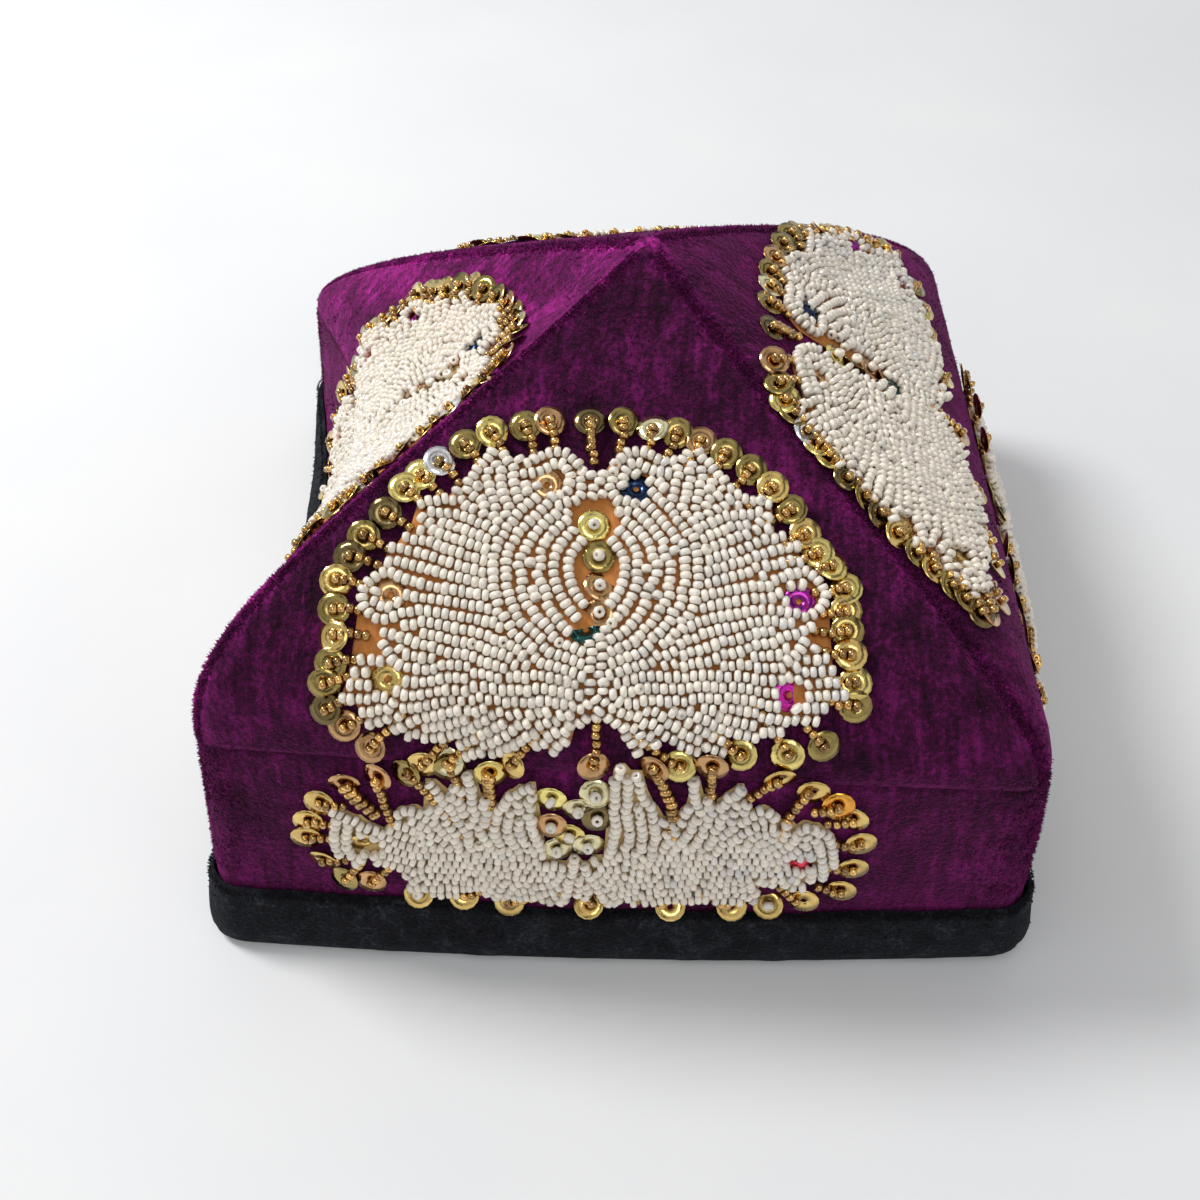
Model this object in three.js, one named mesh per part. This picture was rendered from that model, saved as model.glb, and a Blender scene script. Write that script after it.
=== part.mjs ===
import * as THREE from 'three';

// Lower edge of the cap, in mm. The head opening is nearly a square with soft corners.
const rimHalf = 72;

// The left side is pushed in, so the whole cap is moved this far to stand over the middle of its base.
const centringShift = -2.15;
const rimCornerRadius = 8;

// Crown
const crownHeight = 90;
const apexRight = 6.4;
const apexBack = 1.8;
const panelPitch = THREE.MathUtils.degToRad(33);

// Cloth walls, and the gaps between the sewn pieces
const clothThickness = 2;
const seamGap = 0.3;
const seamTilt = THREE.MathUtils.degToRad(25);
const seamCornerRadius = 6;

// Black velvet binding, folded round the band's lower edge
const bindingHeight = 13;
const bindingInsideHeight = 9;
const bindingThickness = 1.3;
const bindingPuff = 0.5;
const bindingFloorWidth = 2.6;
const bindingInsideGap = 0.5;

// Embroidery: glass beads and sequins on the large crown panels and on the band
const beadDiameter = 1.8;
const sequinDiameter = 5;
const sequinThickness = 0.8;
const sequinSpacing = 0.92;
const threadWidth = 1.2;
const embroideryClearance = 0.7;
const panelMotifReach = 40;
const bandMotifHalfLength = 42;
const bandMotifRise = 28.7;
const bandBorderHalfHeight = bandMotifRise - bindingHeight - seamGap - sequinDiameter / 2;
const bandMotifHalfHeight = bandBorderHalfHeight - sequinDiameter / 2 - seamGap;
const bandBorderMargin = 3.6;
const bandBorderStart = 130;

// Where the facets lie, as shares of a panel's or a side's width and height
const goreRows = 12;
const sideSteps = [0, 0.03, 0.07, 0.14, 0.22, 0.32, 0.44, 0.56, 0.68, 0.78, 0.86, 0.93, 0.97];
const goreColumns = [...sideSteps, 1];
const bowSharpness = 1.3;
const bellyStart = 0.36;
const bandLevels = [0, bellyStart, 0.52, 0.68, 0.84, 1];
const panelMotifRings = [0, 0.35, 0.7, 1];
const normalStep = 0.004;

// Corners where the band ends and a ridge of the crown begins, anticlockwise from above.
// rim and out are shares of rimHalf; seam, rise and drop are shares of crownHeight;
// lean and hold are shares of the way in from the corner to the apex.
const corners = [
  // front left, front right, back right, back left
  { x: -1, y: -1, rim: 0.925, out: 0.838, seam: 0.468, rise: 0.263, lean: 0.02, hold: 0.72, drop: 0.272 },
  { x: 1, y: -1, rim: 1, out: 0.907, seam: 0.459, rise: 0.164, lean: 0, hold: 0.28, drop: 0.18 },
  { x: 1, y: 1, rim: 1, out: 0.922, seam: 0.474, rise: 0.144, lean: 0.04, hold: 0.28, drop: 0.078 },
  { x: -1, y: 1, rim: 1, out: 0.904, seam: 0.386, rise: 0.148, lean: 0.01, hold: 0.2, drop: 0.103 },
];

// Rounding of the four ridges, as shares of rimHalf
const ridgeRadii = [0.07, 0.22, 0.12, 0.1];

// Sides between those corners. edge and bow say how far the rim and the seam above it bulge in the
// middle, and belly how far the band between them does. The left side is pushed in. sag is the
// crown panel's. These are shares of rimHalf, and lift, the seam's rise, is a share of crownHeight.
const sides = [
  { name: 'front', out: [0, -1, 0], edge: 0.03, bow: 0.03, belly: 0.01, lift: 0.02, sag: 0.028 },
  { name: 'right', out: [1, 0, 0], edge: 0.03, bow: 0, belly: 0.055, lift: 0.005, sag: 0.014 },
  { name: 'back', out: [0, 1, 0], edge: 0.03, bow: 0.03, belly: 0.02, lift: 0.011, sag: 0.014 },
  { name: 'left', out: [-1, 0, 0], edge: -0.04, bow: -0.28, belly: 0, lift: -0.01, sag: 0.1 },
];

// Large motif of each side, in shares of panelMotifReach: how wide and tall it is, and how far its
// middle lies to the right of the panel's middle and up from the seam.
const panelMotifs = [
  { wide: 1, tall: 1, shift: -0.0625, rise: 0.6 },
  { wide: 1.24, tall: 0.8, shift: -0.08, rise: 0.8 },
  { wide: 0.9, tall: 0.84, shift: 0, rise: 0.57 },
  { wide: 0.86, tall: 0.84, shift: 0, rise: 0.57 },
];
// A motif keeps its form out to the first share of the panel's half width, then narrows to the second
const motifLimits = [0.78, 0.96];

// Soft creases in the crown panels: from and to are [up, across] shares of the panel,
// depth and reach are shares of rimHalf.
const creases = [
  { side: 'front', from: [0.4, 0.86], to: [0.08, 0.82], depth: 0.018, reach: 0.08 },
  { side: 'left', from: [0.75, 0.35], to: [0.3, 0.12], depth: 0.02, reach: 0.1 },
  { side: 'right', from: [0.7, 0.7], to: [0.3, 0.9], depth: 0.014, reach: 0.1 },
  { side: 'back', from: [0.6, 0.3], to: [0.15, 0.2], depth: 0.014, reach: 0.1 },
];

// Lobed edge of the large motif, one half: angle from straight up in degrees, share of panelMotifReach.
const panelMotifEdge = [
  { angle: 0, reach: 0.5 },
  { angle: 14, reach: 0.69 },
  { angle: 24, reach: 0.6 },
  { angle: 33, reach: 0.72 },
  { angle: 42, reach: 0.64 },
  { angle: 50, reach: 0.75 },
  { angle: 58, reach: 0.68 },
  { angle: 66, reach: 0.78 },
  { angle: 76, reach: 0.7 },
  { angle: 87, reach: 0.8 },
  { angle: 97, reach: 0.7 },
  { angle: 106, reach: 0.82 },
  { angle: 117, reach: 0.68 },
  { angle: 127, reach: 0.76 },
  { angle: 138, reach: 0.6 },
  { angle: 146, reach: 0.62 },
  { angle: 158, reach: 0.38 },
  { angle: 170, reach: 0.44 },
];

// Line of sequins round the large motif, one half, in the same terms.
const panelBorderLine = [
  { angle: 0, reach: 0.76 },
  { angle: 25, reach: 0.785 },
  { angle: 50, reach: 0.82 },
  { angle: 75, reach: 0.88 },
  { angle: 95, reach: 0.91 },
  { angle: 110, reach: 0.98 },
  { angle: 124, reach: 0.93 },
];

// Edge of the long motif on the band, one half: along is a share of bandMotifHalfLength,
// above and below are shares of bandMotifHalfHeight.
const bandMotifEdge = [
  { along: 0, above: 0.5, below: 0.45 },
  { along: 0.1, above: 0.95, below: 1 },
  { along: 0.22, above: 0.8, below: 0.6 },
  { along: 0.34, above: 0.98, below: 0.9 },
  { along: 0.46, above: 0.75, below: 0.85 },
  { along: 0.58, above: 0.8, below: 0.5 },
  { along: 0.7, above: 0.45, below: 0.35 },
  { along: 0.82, above: 0.62, below: 0.45 },
  { along: 0.93, above: 0.55, below: 0.5 },
  { along: 1, above: 0.2, below: 0.25 },
];

const up = new THREE.Vector3(0, 0, 1);

function mix(a, b, share) {
  return a + (b - a) * share;
}

function mixPoints(a, b, share) {
  return new THREE.Vector3().lerpVectors(a, b, share);
}

function moved(point, direction, distance) {
  return point.clone().addScaledVector(direction, distance);
}

// Depth that a rounded square corner lies inside its sharp corner, at a distance along a side.
function cornerCut(distance, radius) {
  const sharpToRound = Math.SQRT2 - 1;
  const left = Math.max(0, 1 - distance / radius);
  return sharpToRound * radius * left * left;
}

// Ridges of the crown, each one curve from its corner of the seam to the apex
const apex = new THREE.Vector3(apexRight, apexBack, crownHeight);
const ridges = corners.map((corner, at) => {
  const start = new THREE.Vector3(corner.x * corner.out * rimHalf, corner.y * corner.out * rimHalf, 0);
  const inward = (share, height) => {
    const point = mixPoints(start, new THREE.Vector3(apexRight, apexBack, 0), share);
    return point.setZ(height * crownHeight);
  };
  const curve = new THREE.CubicBezierCurve3(
    inward(0, corner.seam),
    inward(corner.lean, corner.seam + corner.rise),
    inward(1 - corner.hold, 1 - corner.drop),
    apex.clone(),
  );
  const diagonal = new THREE.Vector3(start.x - apexRight, start.y - apexBack, 0).normalize();
  return { curve, diagonal, radius: ridgeRadii[at] * rimHalf };
});

// Point of a ridge, the outward direction there and how steep the ridge is
function ridgeFrame(ridge, rise) {
  const tangent = ridge.curve.getTangentAt(rise);
  const flat = Math.sqrt(1 - tangent.z * tangent.z);
  const normal = ridge.diagonal.clone().multiplyScalar(tangent.z).addScaledVector(up, flat);
  return { point: ridge.curve.getPointAt(rise), normal, steep: tangent.z };
}

function sideRidges(side) {
  return [ridges[side], ridges[(side + 1) % ridges.length]];
}

// Distance of a place on a panel from a crease line, in mm
function distanceToCrease(rise, across, width, height, crease) {
  const place = new THREE.Vector2(across * width, rise * height);
  const from = new THREE.Vector2(crease.from[1] * width, crease.from[0] * height);
  const to = new THREE.Vector2(crease.to[1] * width, crease.to[0] * height);
  const line = to.clone().sub(from);
  const share = THREE.MathUtils.clamp(place.clone().sub(from).dot(line) / line.lengthSq(), 0, 1);
  return place.distanceTo(from.addScaledVector(line, share));
}

function creaseDepth(side, rise, across, width, height) {
  return creases
    .filter((crease) => crease.side === sides[side].name)
    .map((crease) => {
      const far = distanceToCrease(rise, across, width, height, crease) / (crease.reach * rimHalf);
      return crease.depth * rimHalf * Math.exp(-far * far);
    })
    .reduce((sum, depth) => sum + depth, 0);
}

// Outer face of a crown panel. rise runs from the seam, 0, to the apex, 1, and across from the
// panel's left ridge, 0, to its right ridge, 1, as seen from outside.
function crownPoint(side, rise, across) {
  const { out, bow, lift, sag } = sides[side];
  const outward = new THREE.Vector3(...out);
  const [left, right] = sideRidges(side).map((ridge) => {
    const frame = ridgeFrame(ridge, rise);
    return { ...frame, radius: mix(seamCornerRadius, ridge.radius, Math.min(1, 5 * rise)) };
  });
  const width = left.point.distanceTo(right.point);
  const widest = 0.45 * width + 0.001;
  const ends = [left, right].map((end) => ({ ...end, radius: Math.min(end.radius, widest) }));
  const sharp = ends.map((end) => moved(end.point, end.normal, cornerCut(0, end.radius) * end.steep));
  const point = mixPoints(sharp[0], sharp[1], across);
  point.addScaledVector(ends[0].normal, -cornerCut(across * width, ends[0].radius) * ends[0].steep);
  point.addScaledVector(ends[1].normal, -cornerCut((1 - across) * width, ends[1].radius) * ends[1].steep);
  const crown = 4 * across * (1 - across);
  const fading = (1 - rise) ** 3;
  point.addScaledVector(outward, bow * rimHalf * fading * crown ** bowSharpness);
  point.addScaledVector(up, lift * crownHeight * fading * crown);
  const facing = moved(up.clone().multiplyScalar(Math.cos(panelPitch)), outward, Math.sin(panelPitch));
  const belly = crown * Math.sin(Math.PI * rise);
  const hollow = sag * rimHalf + creaseDepth(side, rise, across, width, crownHeight);
  return point.addScaledVector(facing, -hollow * belly);
}

function crownNormal(side, rise, across) {
  const step = normalStep;
  const row = THREE.MathUtils.clamp(rise, step, 1 - 4 * step);
  const column = THREE.MathUtils.clamp(across, step, 1 - step);
  const upward = crownPoint(side, row + step, column).sub(crownPoint(side, row - step, column));
  const sideways = crownPoint(side, row, column + step).sub(crownPoint(side, row, column - step));
  return sideways.cross(upward).normalize();
}

// Level directions along the seam: the one that points away from the cap, shared at each corner
function seamOutward(side, across) {
  const [left, right] = sideRidges(side);
  if (across === 0) return left.diagonal.clone();
  if (across === 1) return right.diagonal.clone();
  const along = crownPoint(side, 0, across + normalStep).sub(crownPoint(side, 0, across - normalStep));
  return along.setZ(0).normalize().cross(up);
}

function seamFrame(side, across) {
  const outward = seamOutward(side, across);
  const [level, tilt] = [Math.cos(seamTilt), Math.sin(seamTilt)];
  const normal = outward.clone().multiplyScalar(level).addScaledVector(up, tilt);
  const upward = outward.clone().multiplyScalar(-tilt).addScaledVector(up, level);
  return { point: crownPoint(side, 0, across), normal, upward };
}

// Rounded square round the lower edge, a distance in from the rim's outside, at a height
function rimPoint(side, across, inset, height) {
  const { out, edge } = sides[side];
  const [left, right] = [corners[side], corners[(side + 1) % corners.length]];
  const half = rimHalf - inset;
  const shareX = mix(left.x * left.rim, right.x * right.rim, across);
  const shareY = mix(left.y, right.y, across);
  const point = new THREE.Vector3(shareX * half, shareY * half, height);
  point.addScaledVector(new THREE.Vector3(...out), edge * rimHalf * 4 * across * (1 - across));
  const radius = rimCornerRadius - inset;
  [[left, across], [right, 1 - across]].forEach(([corner, share]) => {
    const diagonal = new THREE.Vector3(corner.x, corner.y, 0).normalize();
    point.addScaledVector(diagonal, -cornerCut(share * 2 * half, radius));
  });
  return point;
}

// Closed meshes are gathered face by face, with shared points merged
function closedGeometry(quads) {
  const keys = new Map();
  const positions = [];
  const index = [];
  const indexOf = (point) => {
    const key = point.toArray().map((value) => Math.round(value * 1e4)).join();
    if (!keys.has(key)) {
      keys.set(key, positions.length / 3);
      positions.push(...point.toArray());
    }
    return keys.get(key);
  };
  quads.forEach((quad) => {
    const [a, b, c, d] = quad.map(indexOf);
    [[a, b, c], [a, c, d]].forEach((face) => {
      if (new Set(face).size === 3) index.push(...face);
    });
  });
  const geometry = new THREE.BufferGeometry();
  geometry.setAttribute('position', new THREE.Float32BufferAttribute(positions, 3));
  geometry.setIndex(index);
  return facedOutward(geometry);
}

// Turns every face over when the mesh was gathered inside out
function facedOutward(geometry) {
  const position = geometry.getAttribute('position');
  const corner = (at) => new THREE.Vector3().fromBufferAttribute(position, at);
  const index = Array.from(geometry.getIndex().array);
  let volume = 0;
  for (let at = 0; at < index.length; at += 3) {
    const [a, b, c] = index.slice(at, at + 3).map(corner);
    volume += a.dot(b.cross(c));
  }
  if (volume < 0) {
    for (let at = 0; at < index.length; at += 3) {
      [index[at + 1], index[at + 2]] = [index[at + 2], index[at + 1]];
    }
    geometry.setIndex(index);
  }
  geometry.computeVertexNormals();
  return geometry;
}

function gridQuads(grid, wrap, turned) {
  const quads = [];
  for (let row = 0; row + 1 < grid.length; row += 1) {
    const count = grid[row].length;
    for (let column = 0; column + (wrap ? 0 : 1) < count; column += 1) {
      const next = (column + 1) % count;
      const quad = [grid[row][column], grid[row][next], grid[row + 1][next], grid[row + 1][column]];
      quads.push(turned ? quad.reverse() : quad);
    }
  }
  return quads;
}

// A wall between an outer and an inner grid of points. wrap joins the last column to the first.
function wallGeometry(outer, inner, wrap) {
  const last = outer.length - 1;
  const quads = [...gridQuads(outer, wrap, false), ...gridQuads(inner, wrap, true)];
  quads.push(...gridQuads([inner[0], outer[0]], wrap, false));
  quads.push(...gridQuads([outer[last], inner[last]], wrap, false));
  if (!wrap) {
    const edge = (grid, at) => grid.map((row) => row.at(at));
    quads.push(...gridQuads([edge(outer, 0), edge(inner, 0)], false, false));
    quads.push(...gridQuads([edge(inner, -1), edge(outer, -1)], false, false));
  }
  return closedGeometry(quads);
}

function loopColumns() {
  return sides.flatMap((unused, side) => sideSteps.map((across) => ({ side, across })));
}

// Pieces

function crownGore(side) {
  const [left, right] = sideRidges(side);
  const outer = [];
  const inner = [];
  for (let row = 0; row < goreRows; row += 1) {
    const rise = row / goreRows;
    const [atLeft, atRight] = [left, right].map((ridge) => ridgeFrame(ridge, rise));
    const width = atLeft.point.distanceTo(atRight.point);
    const outerRow = [];
    const innerRow = [];
    goreColumns.forEach((across) => {
      let point = crownPoint(side, rise, across);
      const nearest = across < 0.5 ? atLeft.normal : atRight.normal;
      const clear = Math.min(1, Math.min(across, 1 - across) * width / (2 * clothThickness));
      let normal = mixPoints(nearest, crownNormal(side, rise, across), clear).normalize();
      if (across === 0) point = moved(point, left.diagonal.clone().cross(up).negate(), seamGap / 2);
      if (across === 1) point = moved(point, right.diagonal.clone().cross(up), seamGap / 2);
      if (row === 0) {
        const seam = seamFrame(side, across);
        point = moved(point, seam.upward, seamGap / 2);
        normal = seam.normal;
      }
      outerRow.push(point);
      innerRow.push(moved(point, normal, -clothThickness));
    });
    outer.push(outerRow);
    inner.push(innerRow);
  }
  const tip = moved(apex, new THREE.Vector3(...sides[side].out), seamGap);
  outer.push(goreColumns.map(() => tip.clone()));
  inner.push(goreColumns.map(() => moved(tip, up, -clothThickness)));
  return wallGeometry(outer, inner, false);
}

// Place and outward direction on the band, by shares along the side and up to the seam
const bandBase = bindingThickness + seamGap;
const bandInset = bindingThickness + seamGap + bindingPuff;

function bandPoint(side, across, rise) {
  const { out, belly } = sides[side];
  const low = rimPoint(side, across, bandInset, bandBase);
  const seam = seamFrame(side, across);
  const high = moved(seam.point, seam.upward, -seamGap / 2);
  const above = Math.max(0, (rise - bellyStart) / (1 - bellyStart));
  const swell = belly * rimHalf * 4 * across * (1 - across) * Math.sin(Math.PI * above);
  return moved(mixPoints(low, high, rise), new THREE.Vector3(...out), swell);
}

function band() {
  const outer = [];
  const inner = [];
  bandLevels.forEach((rise) => {
    const places = loopColumns().map(({ side, across }) => {
      const point = bandPoint(side, across, rise);
      const normal = rise === 1 ? seamFrame(side, across).normal : seamOutward(side, across);
      return [point, moved(point, normal, -clothThickness)];
    });
    outer.push(places.map((pair) => pair[0]));
    inner.push(places.map((pair) => pair[1]));
  });
  return wallGeometry(outer, inner, true);
}

// The binding's section, as [inset from the band's outer face, height]: down the outside, across
// the floor, up the inside and back down to the slot that holds the band's edge
function bindingSection() {
  const outside = -seamGap - bindingThickness;
  const slotInside = clothThickness + bindingInsideGap;
  const inside = slotInside + bindingThickness;
  const floorMiddle = clothThickness / 2;
  return [
    [-seamGap, bindingHeight],
    [outside + bindingPuff, bindingHeight],
    [outside, bindingHeight * 0.75],
    [outside - bindingPuff, bindingHeight * 0.25],
    [floorMiddle - bindingFloorWidth / 2, 0],
    [floorMiddle + bindingFloorWidth / 2, 0],
    [inside, bindingHeight * 0.2],
    [inside - bindingPuff, bindingInsideHeight],
    [slotInside, bindingInsideHeight],
    [slotInside, bandBase - seamGap],
    [-seamGap, bandBase - seamGap],
  ];
}

function binding() {
  const grid = bindingSection().map(([inset, height]) => loopColumns().map(({ side, across }) => {
    const low = bandPoint(side, across, 0);
    const high = bandPoint(side, across, 1);
    const rise = (height - low.z) / (high.z - low.z);
    const point = mixPoints(low, high, rise);
    return moved(point, seamOutward(side, across), -inset).setZ(height);
  }));
  return closedGeometry(gridQuads([...grid, grid[0]], true, false));
}

// Finds the share up a panel's centre line for a length in mm measured from the seam
function crownRise(side, length) {
  const steps = 60;
  let walked = 0;
  let previous = crownPoint(side, 0, 0.5);
  for (let step = 1; step <= steps; step += 1) {
    const point = crownPoint(side, step / steps, 0.5);
    const gained = point.distanceTo(previous);
    if (walked + gained >= length) return (step - 1 + (length - walked) / gained) / steps;
    walked += gained;
    previous = point;
  }
  return 1;
}

// Distance from the panel's middle, drawn in where it would run past the ridge
function keptOnPanel(right, half) {
  const limit = half * motifLimits[0];
  const over = Math.abs(right) - limit;
  if (over <= 0) return right;
  const room = half * motifLimits[1] - limit;
  return Math.sign(right) * (limit + room * (1 - Math.exp(-over / room)));
}

// Place on a crown panel from mm to the right of its middle and mm up from the seam
function panelPlace(side, right, upward, offset) {
  const rise = crownRise(side, Math.max(0, upward));
  const [from, to] = sideRidges(side).map((ridge) => ridge.curve.getPointAt(rise));
  const width = from.distanceTo(to);
  const across = 0.5 + keptOnPanel(right, width / 2) / width;
  return moved(crownPoint(side, rise, across), crownNormal(side, rise, across), offset);
}

// Place on the band from mm to the right of its middle and mm up from the floor
function bandPlace(side, right, upward, offset) {
  const low = bandPoint(side, 0.5, 0).z;
  const high = bandPoint(side, 0.5, 1).z;
  const rise = (upward - low) / (high - low);
  const width = bandPoint(side, 0, rise).distanceTo(bandPoint(side, 1, rise));
  const across = 0.5 + right / width;
  return moved(bandPoint(side, across, rise), seamOutward(side, across), offset);
}

function mirrored(rows, key) {
  const others = rows.filter((row) => row[key] > 0).reverse();
  return [...others.map((row) => ({ ...row, [key]: -row[key] })), ...rows];
}

function panelPolar(side, angle, reach) {
  const { wide, tall, shift, rise } = panelMotifs[side];
  const turn = THREE.MathUtils.degToRad(angle);
  const right = shift + reach * wide * Math.sin(turn);
  const upward = rise + reach * tall * Math.cos(turn);
  return [right * panelMotifReach, upward * panelMotifReach];
}

// Raised field of seed beads on a crown panel, with its lobed edge
function panelBeadwork(side) {
  const edge = mirrored(panelMotifEdge, 'angle');
  const skin = (offset) => panelMotifRings.map((ring) => edge.map(({ angle, reach }) => {
    const [right, upward] = panelPolar(side, angle, reach * ring);
    return panelPlace(side, right, upward, offset);
  }));
  return wallGeometry(skin(embroideryClearance + beadDiameter), skin(embroideryClearance), true);
}

// Raised field of seed beads on the band
function bandBeadwork(side) {
  const edge = mirrored(bandMotifEdge, 'along');
  const skin = (offset) => ['above', 'middle', 'below'].map((line) => edge.map((row) => {
    const height = { above: row.above, middle: 0, below: -row.below }[line] * bandMotifHalfHeight;
    return bandPlace(side, row.along * bandMotifHalfLength, bandMotifRise + height, offset);
  }));
  return wallGeometry(skin(embroideryClearance + beadDiameter), skin(embroideryClearance), false);
}

// Sequins side by side on a line, held together by their thread: each is as wide as the disc at
// its middle and as narrow as the thread where it meets the next
function sequinChain(line, place) {
  const path = new THREE.CatmullRomCurve3(line.map(([right, upward]) => new THREE.Vector3(right, upward, 0)));
  const count = Math.round(path.getLength() / (sequinDiameter * sequinSpacing));
  const skin = (offset) => {
    const rows = [];
    for (let step = 0; step <= 2 * count; step += 1) {
      const share = step / (2 * count);
      const middle = path.getPointAt(share);
      const beside = path.getTangentAt(share).cross(up);
      const half = (step % 2 ? sequinDiameter : threadWidth) / 2;
      rows.push([-half, half].map((out) => {
        const point = moved(middle, beside, out);
        return place(point.x, point.y, offset);
      }));
    }
    return rows;
  };
  return wallGeometry(skin(embroideryClearance + sequinThickness), skin(embroideryClearance), false);
}

function panelBorder(side) {
  const line = mirrored(panelBorderLine, 'angle').map(({ angle, reach }) => panelPolar(side, angle, reach));
  return sequinChain(line, (right, upward, offset) => panelPlace(side, right, upward, offset));
}

// The band's border runs round both ends of its motif and along the lower edge
function bandBorder(side) {
  const halfLength = bandMotifHalfLength + bandBorderMargin;
  const line = [];
  for (let angle = bandBorderStart; angle <= 540 - bandBorderStart; angle += 20) {
    const turn = THREE.MathUtils.degToRad(angle);
    const right = Math.sign(Math.cos(turn)) * Math.sqrt(Math.abs(Math.cos(turn))) * halfLength;
    line.push([right, bandMotifRise + bandBorderHalfHeight * Math.sin(turn)]);
  }
  return sequinChain(line, (right, upward, offset) => bandPlace(side, right, upward, offset));
}

// Materials
const velvet = new THREE.MeshStandardMaterial({ color: 0x4a0c40, roughness: 0.85, metalness: 0 });
const blackVelvet = new THREE.MeshStandardMaterial({ color: 0x14141a, roughness: 0.9, metalness: 0 });
const whiteBeads = new THREE.MeshStandardMaterial({ color: 0xe9dfcf, roughness: 0.3, metalness: 0 });
const goldSequins = new THREE.MeshStandardMaterial({ color: 0xb98a35, roughness: 0.3, metalness: 0.8 });

const cap = new THREE.Group();
cap.position.set(centringShift, 0, 0);

function addPiece(name, geometry, material) {
  const piece = new THREE.Mesh(geometry, material);
  piece.name = name;
  cap.add(piece);
}

addPiece('binding', binding(), blackVelvet);
addPiece('band', band(), velvet);
sides.forEach(({ name }, side) => {
  addPiece(`crown_gore_${name}`, crownGore(side), velvet);
  addPiece(`beadwork_crown_${name}`, panelBeadwork(side), whiteBeads);
  addPiece(`sequins_crown_${name}`, panelBorder(side), goldSequins);
  addPiece(`beadwork_band_${name}`, bandBeadwork(side), whiteBeads);
  addPiece(`sequins_band_${name}`, bandBorder(side), goldSequins);
});

export default cap;
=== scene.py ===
import math

import bpy
import numpy as np
from mathutils import Matrix, Vector, noise


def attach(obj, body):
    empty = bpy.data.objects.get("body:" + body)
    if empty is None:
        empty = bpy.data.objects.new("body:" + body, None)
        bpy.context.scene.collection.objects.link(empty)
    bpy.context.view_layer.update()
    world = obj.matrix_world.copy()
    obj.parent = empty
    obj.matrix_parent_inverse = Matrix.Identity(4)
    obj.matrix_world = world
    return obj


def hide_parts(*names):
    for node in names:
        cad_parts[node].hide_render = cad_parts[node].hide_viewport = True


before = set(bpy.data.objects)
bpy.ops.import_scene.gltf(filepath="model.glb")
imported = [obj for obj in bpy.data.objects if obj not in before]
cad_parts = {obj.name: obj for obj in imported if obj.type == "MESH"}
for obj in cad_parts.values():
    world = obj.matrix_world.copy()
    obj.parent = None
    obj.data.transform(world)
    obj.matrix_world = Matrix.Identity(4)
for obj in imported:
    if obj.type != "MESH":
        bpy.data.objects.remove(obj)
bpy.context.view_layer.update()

# Units: sizes are in millimetres and become metres where a mesh or an object is made
MM = 0.001

# The cap's own sizes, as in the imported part
RIM_HALF = 72.0
RIM_RADIUS = 8.0
CROWN_HEIGHT = 90.0
APEX = np.array([6.4, 1.8, CROWN_HEIGHT])
PANEL_PITCH = math.radians(33)
CLOTH = 2.0
SEAM_RADIUS = 6.0
BINDING_HEIGHT = 13.0
BINDING_INSIDE = 9.0
BINDING_THICK = 1.3
BINDING_PUFF = 0.5
SEAM_GAP = 0.3
BAND_BASE = BINDING_THICK + SEAM_GAP
BAND_INSET = BINDING_THICK + SEAM_GAP + BINDING_PUFF
# How far above the binding the beadwork starts to rise over its edge
BINDING_RAMP = 2.5

BOW_SHARPNESS = 1.3
BELLY_START = 0.36

# Corners, anticlockwise from the front left. rim, out and radius are shares of RIM_HALF; seam, rise
# and drop are shares of CROWN_HEIGHT; lean and hold are shares of the way in to the apex.
CORNERS = [
    dict(x=-1, y=-1, rim=0.925, out=0.838, seam=0.468, rise=0.263, lean=0.02, hold=0.72, drop=0.272,
         radius=0.07),
    dict(x=1, y=-1, rim=1, out=0.907, seam=0.459, rise=0.164, lean=0.0, hold=0.28, drop=0.18, radius=0.22),
    dict(x=1, y=1, rim=1, out=0.922, seam=0.474, rise=0.144, lean=0.04, hold=0.28, drop=0.078, radius=0.12),
    dict(x=-1, y=1, rim=1, out=0.904, seam=0.386, rise=0.148, lean=0.01, hold=0.2, drop=0.103, radius=0.1),
]
# Sides: edge, bow and belly are how far the rim, the seam and the band between them bulge, and sag
# is the crown panel's hollow, as shares of RIM_HALF. lift, the seam's rise, is one of CROWN_HEIGHT.
SIDES = [
    dict(name="front", out=(0, -1, 0), edge=0.03, bow=0.03, belly=0.01, lift=0.02, sag=0.028),
    dict(name="right", out=(1, 0, 0), edge=0.03, bow=0.0, belly=0.055, lift=0.005, sag=0.014),
    dict(name="back", out=(0, 1, 0), edge=0.03, bow=0.03, belly=0.02, lift=0.011, sag=0.014),
    dict(name="left", out=(-1, 0, 0), edge=-0.04, bow=-0.28, belly=0.0, lift=-0.01, sag=0.1),
]
CREASES = [
    dict(side="front", start=(0.4, 0.86), end=(0.08, 0.82), depth=0.018, reach=0.08),
    dict(side="left", start=(0.75, 0.35), end=(0.3, 0.12), depth=0.02, reach=0.1),
    dict(side="right", start=(0.7, 0.7), end=(0.3, 0.9), depth=0.014, reach=0.1),
    dict(side="back", start=(0.6, 0.3), end=(0.15, 0.2), depth=0.014, reach=0.1),
]
UP = np.array([0.0, 0.0, 1.0])
# The forms below are about the middle of the square rim; the cap stands this far to its left
CENTRING = np.array([-2.15, 0.0, 0.0])

# Camera, fitted to the photograph's 1200 x 1200 frame
PHOTO_SIZE = 1200
FOCAL_PIXELS = 1300.0
SENSOR = 36.0
CAM_DISTANCE = 252.1
CAM_PITCH = math.radians(46.78)
CAM_YAW = math.radians(2.23)
CAM_ROLL = math.radians(-0.84)
CAM_TARGET = np.array([-1.52, -5.25, 15.15])


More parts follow.
